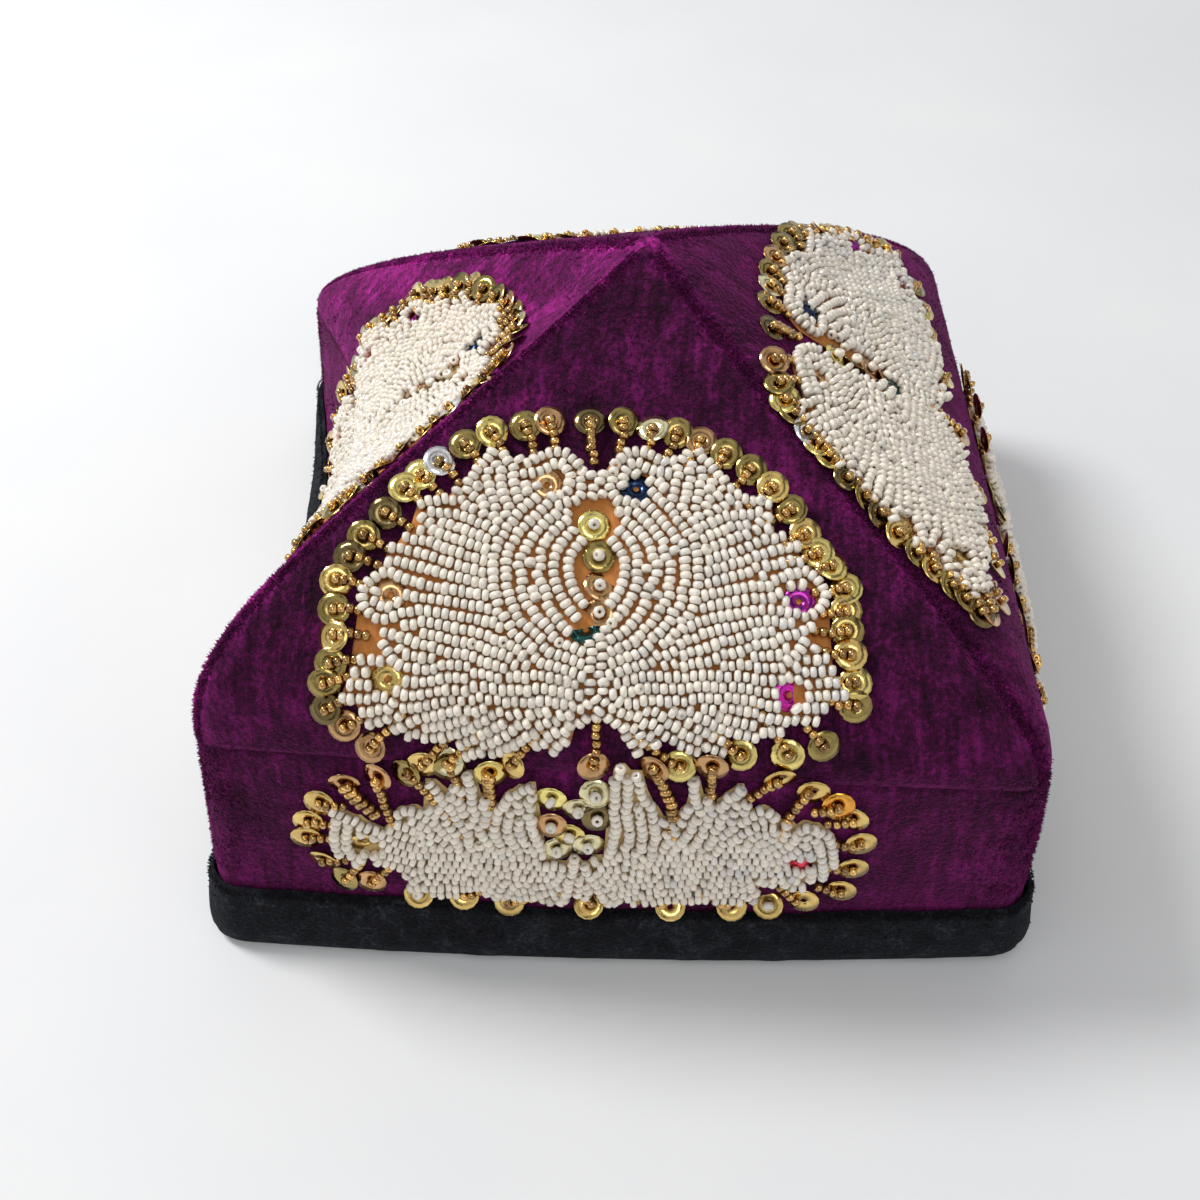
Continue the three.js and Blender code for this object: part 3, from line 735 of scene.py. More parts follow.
def crown_tufts(side, material):
    """Tufts on a crown panel, along its two ridges and scattered over the rest."""
    draw = np.random.default_rng(500 + side)
    name = SIDES[side]["name"]
    ridge_count, open_count = (2300, 3000) if side == 0 else (1700, 1800)
    by_ridges = draw.uniform(0.0, 0.97, 2 * ridge_count)
    rise = np.concatenate([by_ridges, 1 - np.sqrt(draw.uniform(0.002, 1, open_count))])
    beside = np.abs(draw.normal(0, 1.1, len(rise))) / panel_width(side, rise)
    across = np.where(np.arange(len(rise)) < ridge_count, beside, 1 - beside)
    across[2 * ridge_count:] = draw.uniform(0.01, 0.99, open_count)
    across = np.clip(across, 0.0, 1.0)
    normals = crown_normal(side, rise, across)
    roots = crown_point(side, rise, across)
    # The tufts take their panel's painted light and shade, a third brighter
    tufts(f"pile_{name}", roots, normals, material, PANEL_PAINTED_LIGHT[name] * 1.35, 510 + side)


def band_tufts(material):
    """Tufts on the band, thickest at its corners."""
    draw = np.random.default_rng(520)
    roots, normals = [], []
    for side in range(4):
        corner, plain = 800, 700
        first, last = [np.abs(draw.normal(0, 0.035, corner)) for _ in range(2)]
        across = np.clip(np.concatenate([first, 1 - last, draw.uniform(0, 1, plain)]), 0.001, 0.999)
        rise = draw.uniform(0.34, 1, len(across))
        roots.append(band_point(side, rise, across))
        normals.append(seam_outward(side, across))
    tufts("pile_band", np.concatenate(roots), np.concatenate(normals), material, 1.1, 521)


def binding_tufts(material):
    """Shorter tufts on the binding, most of them along its top edge."""
    draw = np.random.default_rng(530)
    roots, normals = [], []
    for side in range(4):
        count = 1800
        across = draw.uniform(0.001, 0.999, count)
        edge = draw.random(count) < 0.75
        by_edge = BINDING_HEIGHT - 0.5 + draw.normal(0, 0.25, count)
        height = np.where(edge, by_edge, draw.uniform(2.5, 12, count))
        outward = seam_outward(side, across)
        puff = np.interp(height, [0.8, 4, 12, 13], [1.6, 2.1, 1.6, 1.2])
        roots.append(band_at_height(side, across, height) + outward * puff[:, None])
        normals.append(outward)
    tufts("pile_binding", np.concatenate(roots), np.concatenate(normals), material, 1.0,
          531, TUFT_LENGTH * 0.8)


# Embroidery. Rows are drawn as the photograph shows them on the front, in its pixels, then turned
# into mm on the cloth, so that the same rows can be sewn on each side.

BEAD_WIDTH = 1.88
BEAD_LENGTH = 1.2
BEAD_PITCH = 1.2
GOLD_WIDTH = 1.7
GOLD_PITCH = 1.3
PAPER_LIFT = 0.3
PAPER_THICK = 0.15
BEAD_LIFT = 1.35
SEQUIN_SIZE = 4.9
MIRROR_AT = 597
MIRROR_SHARE = 0.97
LEVEL_WAY = np.array([[1.0, 0.0]])
CROWN_STRAND = 4.6
BAND_STRAND = 3.6
TUCK_ROOM = 0.36
SEQUIN_CLEAR = 1.9
# A motif keeps its form out to the first share of a panel's half width, then narrows to the second
MOTIF_LIMITS = (0.78, 0.96)
INSET_LIFT = 0.7
SEQUIN_LIFT = 0.85
MOTIF_MIDDLE = -2.5
CROWN_MIDDLE = np.array([MOTIF_MIDDLE, 22.0])
BAND_MIDDLE = np.array([0.0, 27.0])
PAPER_ORANGE = (0.62, 0.25, 0.07)
PAPER_CREAM = (0.78, 0.56, 0.25)
# Sequin colours. The gold discs' bright, olive, dark and pale tones are partly painted reflection, standing
# for the light and dark surroundings that a tilted disc mirrors, and partly their own gold; the other tones
# are the discs' own colours
SEQUIN_TONES_AND_REFLECTIONS = dict(
    bright=(0.95, 0.76, 0.25), gold=(0.85, 0.6, 0.2), olive=(0.4, 0.3, 0.09), dark=(0.22, 0.16, 0.06),
    copper=(0.66, 0.38, 0.17), pale=(0.9, 0.82, 0.5), white=(0.9, 0.9, 0.92), orange=(0.9, 0.42, 0.06),
    navy=(0.01, 0.03, 0.1), purple=(0.35, 0.02, 0.3), magenta=(0.8, 0.03, 0.55), teal=(0.02, 0.12, 0.12),
    red=(0.8, 0.05, 0.1),
)
# Where the large motif lies on each panel: shift and lift in mm, the rest as shares of the front's
FITS = [
    dict(shift=MOTIF_MIDDLE, flip=1, wide=1, lift=0, tall=1),
    dict(shift=-3.2, flip=1, wide=1.24, lift=12.8, tall=0.8),
    dict(shift=0.0, flip=-1, wide=0.88, lift=1.0, tall=0.8),
    dict(shift=0.0, flip=-1, wide=0.86, lift=2.6, tall=0.84),
]

# White rows of the large motif's left half; the right half mirrors them
CROWN_ROWS = [
    [(540, 495), (524, 510), (508, 526), (497, 545), (492, 565), (492, 590), (497, 612), (508, 632),
     (523, 650), (545, 664), (566, 673), (583, 678)],
    [(553, 502), (537, 518), (522, 532), (511, 545), (506, 565), (506, 585), (510, 602), (516, 618),
     (527, 634), (543, 648), (560, 660), (582, 668)],
    [(556, 517), (540, 531), (527, 548), (521, 568), (523, 590), (532, 612), (545, 632), (562, 646),
     (582, 656)],
    [(566, 523), (550, 538), (540, 555), (537, 573), (541, 593), (551, 614), (566, 632), (582, 643)],
    [(573, 533), (560, 547), (554, 561), (553, 576), (558, 594), (569, 612), (582, 626)],
    [(581, 545), (570, 558), (568, 574), (573, 592), (583, 606)],
    [(526, 466), (538, 461), (546, 456), (561, 455), (573, 462), (582, 477), (584, 490), (580, 501),
     (569, 507), (559, 508)],
    [(524, 477), (539, 475), (550, 470), (560, 466), (569, 474), (573, 485), (567, 493)],
    [(492, 456), (487, 465), (480, 470), (474, 478), (467, 492)],
    [(504, 458), (510, 467), (514, 475), (517, 492), (520, 502)],
    [(488, 480), (490, 497), (494, 513)],
    [(501, 482), (505, 509), (507, 519)],
    [(475, 500), (484, 508), (488, 519), (493, 530)],
    [(422, 507), (436, 504), (450, 502), (460, 502), (474, 514)],
    [(423, 521), (436, 533), (459, 542), (486, 552)],
    [(440, 518), (460, 516), (486, 526), (494, 534)],
    [(461, 529), (474, 534), (489, 540)],
    [(408, 540), (426, 542), (449, 553), (467, 560), (484, 562)],
    [(393, 550), (411, 552), (437, 561), (453, 566), (484, 573)],
    [(399, 564), (427, 571), (454, 579), (484, 584)],
    [(401, 579), (390, 574), (382, 576), (374, 581), (368, 588), (363, 598), (366, 607), (372, 614),
     (381, 619), (390, 619), (400, 617), (410, 615), (430, 613), (461, 617), (484, 622), (504, 627)],
    [(406, 581), (427, 588), (461, 594), (488, 597)],
    [(392, 594), (405, 597), (420, 600), (451, 605), (490, 610)],
    [(406, 625), (427, 624), (455, 630), (486, 635), (506, 644), (527, 655)],
    [(386, 633), (411, 640), (441, 651), (469, 661), (488, 664), (508, 668)],
    [(425, 635), (455, 642), (486, 649), (506, 656), (527, 665)],
    [(385, 645), (394, 659), (411, 668), (440, 668), (468, 670)],
    [(364, 661), (373, 659), (383, 660)],
    [(357, 672), (367, 671), (378, 672)],
    [(353, 683), (361, 684), (370, 685)],
    [(345, 695), (355, 695), (365, 695), (380, 698)],
    [(365, 706), (373, 706), (383, 707)],
    [(373, 717), (383, 715), (391, 708), (397, 700)],
    [(400, 677), (417, 683), (451, 679), (480, 678), (516, 676), (548, 679), (578, 682)],
    [(390, 687), (408, 694), (448, 691), (496, 687), (540, 689), (580, 692)],
    [(405, 704), (440, 702), (480, 698), (530, 698), (578, 701)],
    [(410, 728), (427, 731), (445, 728), (463, 722), (478, 717), (493, 711)],
    [(413, 718), (422, 714), (431, 711), (446, 709), (470, 707)],
    [(437, 720), (457, 715), (478, 708), (500, 706)],
    [(468, 749), (486, 743), (506, 740), (520, 735), (534, 728)],
    [(468, 735), (483, 728), (501, 718), (520, 709)],
    [(490, 735), (506, 729), (530, 717), (550, 707)],
    [(540, 719), (553, 712), (566, 705), (576, 700)],
    [(553, 746), (564, 730), (576, 715), (587, 702)],
    [(588, 637), (588, 655), (588, 672), (588, 690)],
    [(601, 640), (602, 658), (603, 675), (603, 692)],
]
CROWN_CENTRE_ROWS = 2

# White rows of the band's motif
BAND_ROWS_LEFT = [
    [(336, 805), (346, 810), (355, 815), (367, 821), (376, 824), (384, 827), (392, 830)],
    [(341, 815), (337, 823), (337, 832), (338, 840), (342, 847)],
    [(350, 818), (349, 826), (348, 834), (350, 842), (355, 850)],
    [(357, 853), (366, 851), (372, 844), (378, 837)],
    [(384, 837), (399, 842), (415, 847), (434, 849), (464, 851), (493, 853), (512, 856), (531, 859),
     (554, 861)],
    [(384, 847), (396, 850), (411, 853), (426, 858), (445, 861), (472, 863), (493, 864), (510, 866),
     (530, 869), (549, 872)],
    [(377, 849), (382, 854), (392, 857), (405, 861), (416, 864)],
    [(415, 873), (424, 867), (438, 869), (448, 871), (460, 872), (476, 872), (495, 874)],
    [(413, 881), (422, 879), (432, 878), (442, 879), (453, 880), (466, 880), (480, 878)],
    [(428, 887), (438, 886), (447, 886), (458, 886)],
    [(401, 808), (413, 804), (422, 808), (432, 812), (440, 819), (449, 827), (457, 834), (465, 842)],
    [(400, 818), (413, 821), (426, 825), (434, 830), (444, 834), (453, 840)],
    [(401, 827), (409, 830), (419, 834), (426, 839), (434, 842)],
    [(414, 813), (422, 817), (431, 821)],
    [(432, 779), (440, 787), (447, 797), (455, 806), (463, 816), (468, 826), (471, 833), (473, 842)],
    [(469, 770), (471, 780), (473, 791), (475, 803), (477, 813), (481, 824), (486, 832), (490, 841)],
    [(531, 782), (522, 787), (512, 791), (505, 801), (499, 809), (496, 822), (497, 832), (501, 842)],
    [(532, 791), (528, 801), (527, 809), (531, 817), (535, 827), (538, 834), (541, 841)],
    [(507, 817), (509, 826), (512, 834), (518, 844)],
    [(518, 815), (520, 824), (524, 832), (530, 842)],
    [(507, 895), (516, 892), (528, 890), (539, 888), (551, 884), (560, 880)],
    [(512, 884), (522, 881), (533, 880), (545, 877), (556, 873)],
    [(495, 889), (502, 884), (505, 876)],
    [(575, 853), (574, 863), (571, 872), (568, 882), (565, 892), (560, 901)],
]
BAND_ROWS_RIGHT = [
    [(621, 763), (619, 772), (617, 783), (616, 791), (616, 799), (617, 809), (617, 819), (615, 828),
     (613, 838), (611, 848)],
    [(628, 785), (628, 794), (627, 804), (629, 813), (630, 821), (630, 832), (627, 842)],
    [(635, 771), (639, 781), (642, 789), (646, 796), (651, 804), (653, 811), (654, 819), (656, 828),
     (657, 836), (653, 846)],
    [(639, 808), (643, 816), (643, 825), (642, 835), (643, 843)],
    [(694, 776), (694, 789), (698, 797), (701, 805)],
    [(740, 784), (733, 791), (727, 797), (721, 801), (715, 808), (710, 813), (706, 821), (701, 826),
     (695, 836)],
    [(697, 813), (694, 821), (689, 827), (684, 834), (678, 839), (672, 844)],
    [(701, 844), (709, 838), (715, 832), (721, 828), (729, 821), (741, 813), (750, 811), (758, 808),
     (766, 805), (773, 812)],
    [(715, 846), (723, 837), (733, 834), (740, 828), (746, 823), (756, 819), (764, 820)],
    [(744, 839), (752, 835), (758, 828), (768, 828)],
    [(756, 842), (765, 837), (772, 826)],
    [(603, 862), (619, 860), (635, 858), (652, 856), (668, 855), (701, 854), (733, 853), (766, 854),
     (787, 854)],
    [(603, 872), (619, 870), (635, 868), (652, 867), (672, 866), (693, 866), (733, 863), (754, 864),
     (787, 864)],
    [(616, 881), (631, 878), (646, 876), (658, 876), (670, 875), (682, 875)],
    [(627, 888), (640, 887), (652, 885), (662, 884), (674, 884), (687, 884)],
    [(652, 893), (662, 892), (672, 892), (682, 892), (691, 892)],
    [(696, 874), (715, 875), (727, 875), (738, 873), (746, 879), (753, 885)],
    [(698, 883), (709, 884), (721, 884), (733, 885), (744, 888), (752, 893)],
    [(715, 892), (727, 893), (740, 893)],
    [(776, 845), (785, 841), (792, 833), (799, 825), (808, 819), (818, 825), (825, 834), (829, 842),
     (831, 850), (831, 858)],
    [(803, 836), (809, 844), (810, 854), (811, 862), (811, 871)],
    [(813, 832), (819, 840), (821, 850), (823, 860), (820, 870)],
    [(785, 875), (793, 879), (801, 878)],
    [(585, 860), (589, 868), (594, 875), (599, 883), (605, 890), (611, 895), (616, 900)],
]


def on_cloth(place, pixels):
    """Where on the cloth (mm to the right, mm up) the photograph shows each pixel."""
    target = np.array(pixels, float)
    spot = np.tile([0.0, 25.0], (len(target), 1))
    step = 0.2
    for _ in range(15):
        here = to_pixels(place(spot[:, 0], spot[:, 1]))
        right = (to_pixels(place(spot[:, 0] + step, spot[:, 1])) - here) / step
        up = (to_pixels(place(spot[:, 0], spot[:, 1] + step)) - here) / step
        miss = target - here
        scale = right[:, 0] * up[:, 1] - right[:, 1] * up[:, 0]
        move = np.stack([miss[:, 0] * up[:, 1] - miss[:, 1] * up[:, 0],
                         miss[:, 1] * right[:, 0] - miss[:, 0] * right[:, 1]], axis=1) / scale[:, None]
        spot = spot + np.clip(move, -12, 12)
    return spot


def mirrored(row):
    return [(MIRROR_AT + (MIRROR_AT - x) * MIRROR_SHARE, y) for x, y in row]


def strung(line, pitch, draw):
    """Places along a line, evenly apart with a little unevenness, and the line's direction there."""
    lengths = walked(line)
    whole = lengths[-1]
    count = max(1, int(round(whole / pitch))) + 1
    at = np.clip(np.linspace(0, whole, count) + draw.normal(0, 0.02, count) * pitch, 0, whole)
    reach = min(pitch, whole / 2)
    spots, ahead, behind = [
        np.stack([np.interp(place, lengths, line[:, axis]) for axis in (0, 1)], axis=1)
        for place in (at, at + reach, at - reach)]
    return spots, unit(ahead - behind)


def smoothed(line):
    """The line with its corners rounded, as a thread lies."""
    for _ in range(2):
        cut = np.concatenate([line[:-1] * 0.75 + line[1:] * 0.25, line[:-1] * 0.25 + line[1:] * 0.75], axis=1)
        line = np.concatenate([line[:1], cut.reshape(-1, 2), line[-1:]])
    return line


def sewn(rows, pitch, seed):
    """Spots and directions of the beads of all the rows, in mm on the cloth."""
    draw = np.random.default_rng(seed)
    parts = [strung(row, pitch, draw) for row in rows]
    return np.concatenate([spots for spots, _ in parts]), np.concatenate([ways for _, ways in parts])


def tucked_in(spots, ways, room, seed):
    """Adds the beads that fill the chinks between rows, where beads lie all round."""
    draw = np.random.default_rng(seed)
    low, high = spots.min(axis=0), spots.max(axis=0)
    grid = np.stack(np.meshgrid(*[np.arange(a, b, 0.4) for a, b in zip(low, high)]), axis=-1).reshape(-1, 2)
    grid = grid + draw.uniform(-0.15, 0.15, grid.shape)
    reach = 3.2
    for spot in grid:
        away = spots - spot
        far = np.linalg.norm(away, axis=1)
        near = far < reach
        if far.min() < 0.9 or near.sum() < 6:
            continue
        close, aim = far[near], away[near] / far[near, None]
        if np.linalg.norm(aim.mean(axis=0)) > 0.4 or (close - half_size(ways[near], aim)).min() < room:
            continue
        spots = np.concatenate([spots, spot[None]])
        ways = np.concatenate([ways, ways[far.argmin()][None]])
    return spots, ways


def half_size(ways, aims):
    """How far beads reach from their middles in given directions."""
    along = (ways * aims).sum(axis=1)
    beside = ways[:, 0] * aims[:, 1] - ways[:, 1] * aims[:, 0]
    return 0.5 / np.hypot(along / BEAD_PITCH, beside / BEAD_WIDTH)


def settled(spots, ways, rounds):
    """Beads pushed apart until they only touch, and those taken out that find no room."""
    home = spots.copy()
    far = np.linalg.norm(spots[None] - spots[:, None], axis=-1)
    np.fill_diagonal(far, 9)
    first, second = np.nonzero(far < 3.2)
    for turn in range(rounds):
        away = spots[second] - spots[first]
        far = np.linalg.norm(away, axis=1) + 1e-6
        aims = away / far[:, None]
        overlap = half_size(ways[first], aims) + half_size(ways[second], aims) - far
        push = np.zeros_like(spots)
        np.add.at(push, first, -aims * (np.clip(overlap, 0, 1) * 0.22)[:, None])
        spots = spots + push + (home - spots) * 0.02
    crowded = np.unique(np.maximum(first, second)[overlap > 0.55])
    keep = np.ones(len(spots), bool)
    keep[crowded] = False
    return spots[keep], ways[keep]


def bead_shape(width, length, hole, sides, fine=True):
    """A drawn glass bead: a short tube with rounded shoulders, its hole along the first axis."""
    half, outer = length / 2, width / 2
    profile = [(-half, hole), (-half * 0.72, outer * 0.86), (0, outer), (half * 0.72, outer * 0.86),
               (half, hole)]
    if not fine:
        profile = [(-half, hole), (-half * 0.5, outer * 0.96), (half * 0.5, outer * 0.96), (half, hole)]
    return turned(profile, sides)


def frames_on_cloth(place, spots, ways, lift):
    """Centres and axes of things that lie on the cloth, their first axis along the given ways."""
    point, across, along, normal = surface_frame(place, spots[:, 0], spots[:, 1], np.full(len(spots), lift))
    first = unit(across * ways[:, :1] + along * ways[:, 1:])
    return point, np.stack([first, np.cross(normal, first), normal], axis=1)


def tilted(axes, angle, draw):
    """Axes turned a little at random about their first two directions."""
    lean = draw.normal(0, angle, (len(axes), 2))
    normal = unit(axes[:, 2] + axes[:, 0] * lean[:, :1] + axes[:, 1] * lean[:, 1:])
    first = unit(axes[:, 0] - normal * (axes[:, 0] * normal).sum(axis=1, keepdims=True))
    return np.stack([first, np.cross(normal, first), normal], axis=1)


def white_beads(name, place, spots, ways, material, seed, replaces, fine):
    """All the white seed beads of a motif; fine ones are rounder."""
    draw = np.random.default_rng(seed)
    shape, faces = bead_shape(BEAD_WIDTH, BEAD_LENGTH, 0.32, 7 if fine else 6, fine)
    centres, axes = frames_on_cloth(place, spots, ways, BEAD_LIFT)
    centres = centres + axes[:, 2] * draw.normal(0, 0.12, (len(spots), 1))
    lean = np.where(draw.random((len(spots), 1)) < 0.05, 0.9, 0.14)
    count = len(spots)
    axes = tilted(axes, lean, draw) * draw.normal(1, 0.05, (count, 3, 1))
    axes = axes * draw.normal(1, 0.03, (count, 1, 1))
    tints = bead_tints(spots, draw)
    add_copies(name, shape, faces, centres, axes, material, tints, replaces)


def bead_tints(spots, draw):
    """Old glass: mostly cream, a few greyer or yellower, and greyer ones to the right."""
    shade = draw.normal(1, 0.05, len(spots)) - 0.1 * (draw.random(len(spots)) < 0.08)
    grey = np.clip(draw.normal(0, 0.25, len(spots)) + spots[:, 0] / 90, 0, 1)[:, None]
    cream, pale = np.array([0.93, 0.84, 0.71]), np.array([0.78, 0.75, 0.72])
    return np.clip(blend(cream, pale, grey) * shade[:, None], 0, 1)


class Motif:
    """The rows, strands and sequins of one motif in mm on the front, ready to be sewn on any side."""

    def __init__(self, place, rows, sequins, strands):
        self.rows = [smoothed(on_cloth(place, row)) for row in rows]
        self.sequins = [(spot, tone, topping) for spot, (_, tone, topping) in
                        zip(on_cloth(place, [pixel for pixel, _, _ in sequins]), sequins)]
        self.strands = [smoothed(on_cloth(place, strand)) for strand in strands]

    def beads(self, mover, seed):
        """Spots and directions of the white beads on a side, packed as close as they lie."""
        spots, ways = settled(*sewn([mover(row) for row in self.rows], BEAD_PITCH, seed), 8)
        spots, ways = tucked_in(spots, ways, TUCK_ROOM, seed + 1)
        keep = np.ones(len(spots), bool)
        for spot, _, topping in self.sequins:
            if topping in ("inset", "bead"):
                keep &= np.linalg.norm(spots - mover(spot[None]), axis=1) > SEQUIN_CLEAR
        return settled(spots[keep], ways[keep], 30)


def short_strands(motif, middle, length):
    """A strand from each rim sequin's hole towards the middle of the motif."""
    lines = []
    for spot, tone, topping in motif.sequins:
        if topping == "strand":
            inward = unit(middle - spot)
            side = np.array([-inward[1], inward[0]])
            lines.append(np.array([spot, spot + inward * length * 0.5 + side * 0.25, spot + inward * length]))
    return lines


def moved_to(fit, place_width, spots):
    """Spots of the front's motif moved and scaled for another side, kept inside its ridges."""
    right = fit["shift"] + fit["flip"] * (spots[:, 0] - MOTIF_MIDDLE) * fit["wide"]
    up = fit["lift"] + spots[:, 1] * fit["tall"]
    half = place_width(up) / 2
    limit = half * MOTIF_LIMITS[0]
    over = np.maximum(0, np.abs(right) - limit)
    room = half * MOTIF_LIMITS[1] - limit
    eased = limit + room * (1 - np.exp(-over / np.maximum(room, 0.1)))
    right = np.where(over > 0, np.sign(right) * eased, right)
    return np.stack([right, up], axis=1)


def sequin_pieces(name, place, mover, motif, material, seed, replaces):
    """The cupped discs of a motif, each with its hole."""
    draw = np.random.default_rng(seed)
    edge = SEQUIN_SIZE / 2
    profile = [(0.0, 0.45), (0.03, edge * 0.55), (0.12, edge), (0.02, edge + 0.02), (-0.08, edge * 0.55),
               (-0.12, 0.45)]
    shape, faces = turned(profile, 14)
    spots = mover(np.array([spot for spot, _, _ in motif.sequins]))
    lift = [INSET_LIFT if topping == "inset" else SEQUIN_LIFT for _, _, topping in motif.sequins]
    centres, axes = frames_on_cloth(place, spots, LEVEL_WAY, 0)
    centres = centres + axes[:, 2] * (np.array(lift) + draw.uniform(-0.1, 0.2, len(spots)))[:, None]
    axes = tilted(axes, 0.17, draw)[:, [2, 0, 1]]
    # Each disc's tone; in the gold ones this carries painted reflection
    tints = np.array([SEQUIN_TONES_AND_REFLECTIONS[tone] for _, tone, _ in motif.sequins]) * draw.normal(1, 0.06, (len(spots), 1))
    add_copies(name, shape, faces, centres, axes, material, np.clip(tints, 0, 1), replaces)


def gold_beads(name, place, mover, lines, material, seed):
    """The gold beads that tie the sequins down, strand by strand."""
    draw = np.random.default_rng(seed)
    shape, faces = bead_shape(GOLD_WIDTH, GOLD_PITCH * 0.94, 0.22, 6)
    parts = [strung(mover(line), GOLD_PITCH, draw) for line in lines]
    spots, ways = [np.concatenate(values) for values in zip(*parts)]
    lift = np.concatenate([1.5 - 0.6 * np.minimum(1, np.arange(len(part[0])) / 3.0) for part in parts])
    centres, axes = frames_on_cloth(place, spots, ways, 0)
    centres = centres + axes[:, 2] * lift[:, None] + axes[:, 1] * draw.normal(0, 0.08, (len(spots), 1))
    axes = tilted(axes, 0.12, draw)
    shade = np.clip(draw.normal(1, 0.22, (len(spots), 1)), 0.4, 1.5) * np.ones((1, 3))
    add_copies(name, shape, faces, centres, axes, material, shade)


def topping_beads(name, place, mover, motif, material, seed):
    """The single white bead that holds down a sequin."""
    draw = np.random.default_rng(seed)
    spots = np.array([spot for spot, _, topping in motif.sequins if topping == "bead"])
    shape, faces = bead_shape(BEAD_WIDTH, BEAD_LENGTH * 1.1, 0.3, 8)
    centres, axes = frames_on_cloth(place, mover(spots), LEVEL_WAY, SEQUIN_LIFT + 0.8)
    axes = tilted(axes, 0.5, draw)[:, [2, 0, 1]]
    add_copies(name, shape, faces, centres, axes, material, bead_tints(spots, draw))


def paper_sheet(name, place, grid, material, tint):
    """A thin sheet over a grid of spots on the cloth (rows x columns x 2)."""
    rows, columns = grid.shape[:2]
    spots = grid.reshape(-1, 2)
    sheets = [surface_frame(place, spots[:, 0], spots[:, 1], np.full(len(spots), lift))[0]
              for lift in (PAPER_LIFT + PAPER_THICK, PAPER_LIFT)]
    count = rows * columns
    faces = grid_faces(rows, columns) + [face[::-1] for face in grid_faces(rows, columns, start=count)]
    edge = rim_of_grid(rows, columns)
    for (r0, c0), (r1, c1) in zip(edge, edge[1:] + edge[:1]):
        here, after = r0 * columns + c0, r1 * columns + c1
        faces.append([here, count + here, count + after, after])
    grid = sheets[0].reshape(rows, columns, 3)
    turn = np.cross(grid[1, 1] - grid[0, 1], grid[0, 1] - grid[0, 0]) @ (sheets[0] - sheets[1]).mean(axis=0)
    if turn > 0:
        faces = [face[::-1] for face in faces]
    tints = np.tile(tint, (2 * count, 1))
    add_mesh(name, np.concatenate(sheets), faces, material, tints)


def columns_under(spots, spacing, margin):
    """A grid of spots that fills a motif column by column, from its lowest bead to its highest."""
    steps = np.arange(spots[:, 0].min() - margin, spots[:, 0].max() + margin, spacing)
    grid = []
    for step in steps:
        near = spots[np.abs(spots[:, 0] - step) < spacing * 1.1]
        if len(near) == 0:
            near = spots[np.argsort(np.abs(spots[:, 0] - step))[:4]]
        low, high = near[:, 1].min() - margin, near[:, 1].max() + margin
        grid.append([[step, blend(low, high, share)] for share in np.linspace(0, 1, 9)])
    return np.array(grid)



CROWN_SEQUINS = [
    ((550, 423), "copper"), ((525, 428), "olive"), ((492, 434), "bright"), ((465, 446), "olive"),
    ((439, 463), "white"), ((417, 476), "bright"), ((400, 489), "bright"), ((383, 515), "dark"),
    ((361, 538), "olive"), ((348, 558), "dark"), ((337, 582), "gold"), ((335, 610), "olive"),
    ((335, 636), "gold"), ((332, 663), "olive"), ((326, 682), "olive"), ((327, 706), "dark"),
    ((590, 423), "dark"), ((624, 424), "olive"), ((653, 431), "pale"), ((677, 435), "olive"),
    ((701, 443), "copper"), ((726, 456), "olive"), ((751, 472), "olive"), ((772, 489), "gold"),
    ((790, 511), "olive"), ((804, 536), "gold"), ((817, 555), "bright"), ((831, 568), "bright"),
    ((845, 590), "bright"), ((845, 613), "gold"), ((846, 633), "olive"), ((849, 655), "gold"),
    ((854, 683), "bright"), ((854, 706), "olive"),
]
CROWN_LOW_SEQUINS = [
    ((346, 722), "copper"), ((372, 743), "copper"), ((425, 759), "gold"), ((449, 757), "pale"),
    ((512, 759), "gold"), ((594, 762), "copper"), ((680, 762), "bright"), ((740, 752), "bright"),
    ((787, 752), "bright"), ((823, 744), "olive"),
]
CROWN_INSETS = [
    ((547, 487), "copper"), ((636, 491), "navy"), ((391, 596), "copper"), ((388, 679), "gold"),
    ((798, 603), "purple"), ((789, 695), "magenta"), ((586, 631), "teal"),
]
CROWN_TOPPED = [((594, 528), "bright"), ((599, 559), "olive"), ((600, 588), "copper"), ((599, 615), "copper")]
CROWN_STRANDS = [
    [(346, 722), (362, 716), (378, 708)], [(372, 743), (392, 724), (410, 706)],
    [(425, 759), (440, 742), (457, 730)], [(449, 757), (464, 744), (480, 732)],
    [(512, 759), (528, 744), (548, 722)], [(594, 762), (598, 735), (596, 700)],
    [(680, 762), (655, 748), (633, 732)], [(740, 752), (727, 742), (712, 729)],
    [(787, 752), (772, 728), (756, 705)], [(823, 744), (815, 736), (806, 727)],
    [(590, 428), (592, 446), (594, 464)],
]

BAND_SEQUINS = [
    ((321, 798), "gold"), ((310, 817), "gold"), ((308, 832), "gold"), ((325, 855), "gold"),
    ((838, 802), "orange"), ((852, 815), "gold"), ((860, 838), "gold"), ((852, 863), "gold"),
    ((840, 885), "gold"),
]
BAND_FAR_SEQUINS = [
    ((346, 779), "copper"), ((379, 772), "copper"), ((407, 769), "olive"), ((451, 763), "olive"),
    ((491, 769), "bright"), ((346, 874), "olive"), ((373, 876), "copper"), ((465, 893), "gold"),
    ((510, 901), "gold"), ((589, 903), "gold"), ((654, 764), "copper"), ((712, 762), "copper"),
    ((780, 775), "gold"), ((813, 788), "gold"), ((803, 895), "gold"), ((731, 905), "gold"),
    ((670, 905), "gold"),
]
BAND_INSETS = [((366, 838), "gold"), ((798, 856), "red")]
BAND_TOPPED = [
    ((420, 892), "gold"), ((767, 902), "gold"), ((552, 795), "bright"), ((579, 805), "pale"),
    ((552, 820), "copper"), ((570, 830), "bright"), ((558, 844), "pale"), ((589, 840), "pale"),
    ((596, 790), "pale"), ((598, 813), "dark"),
]
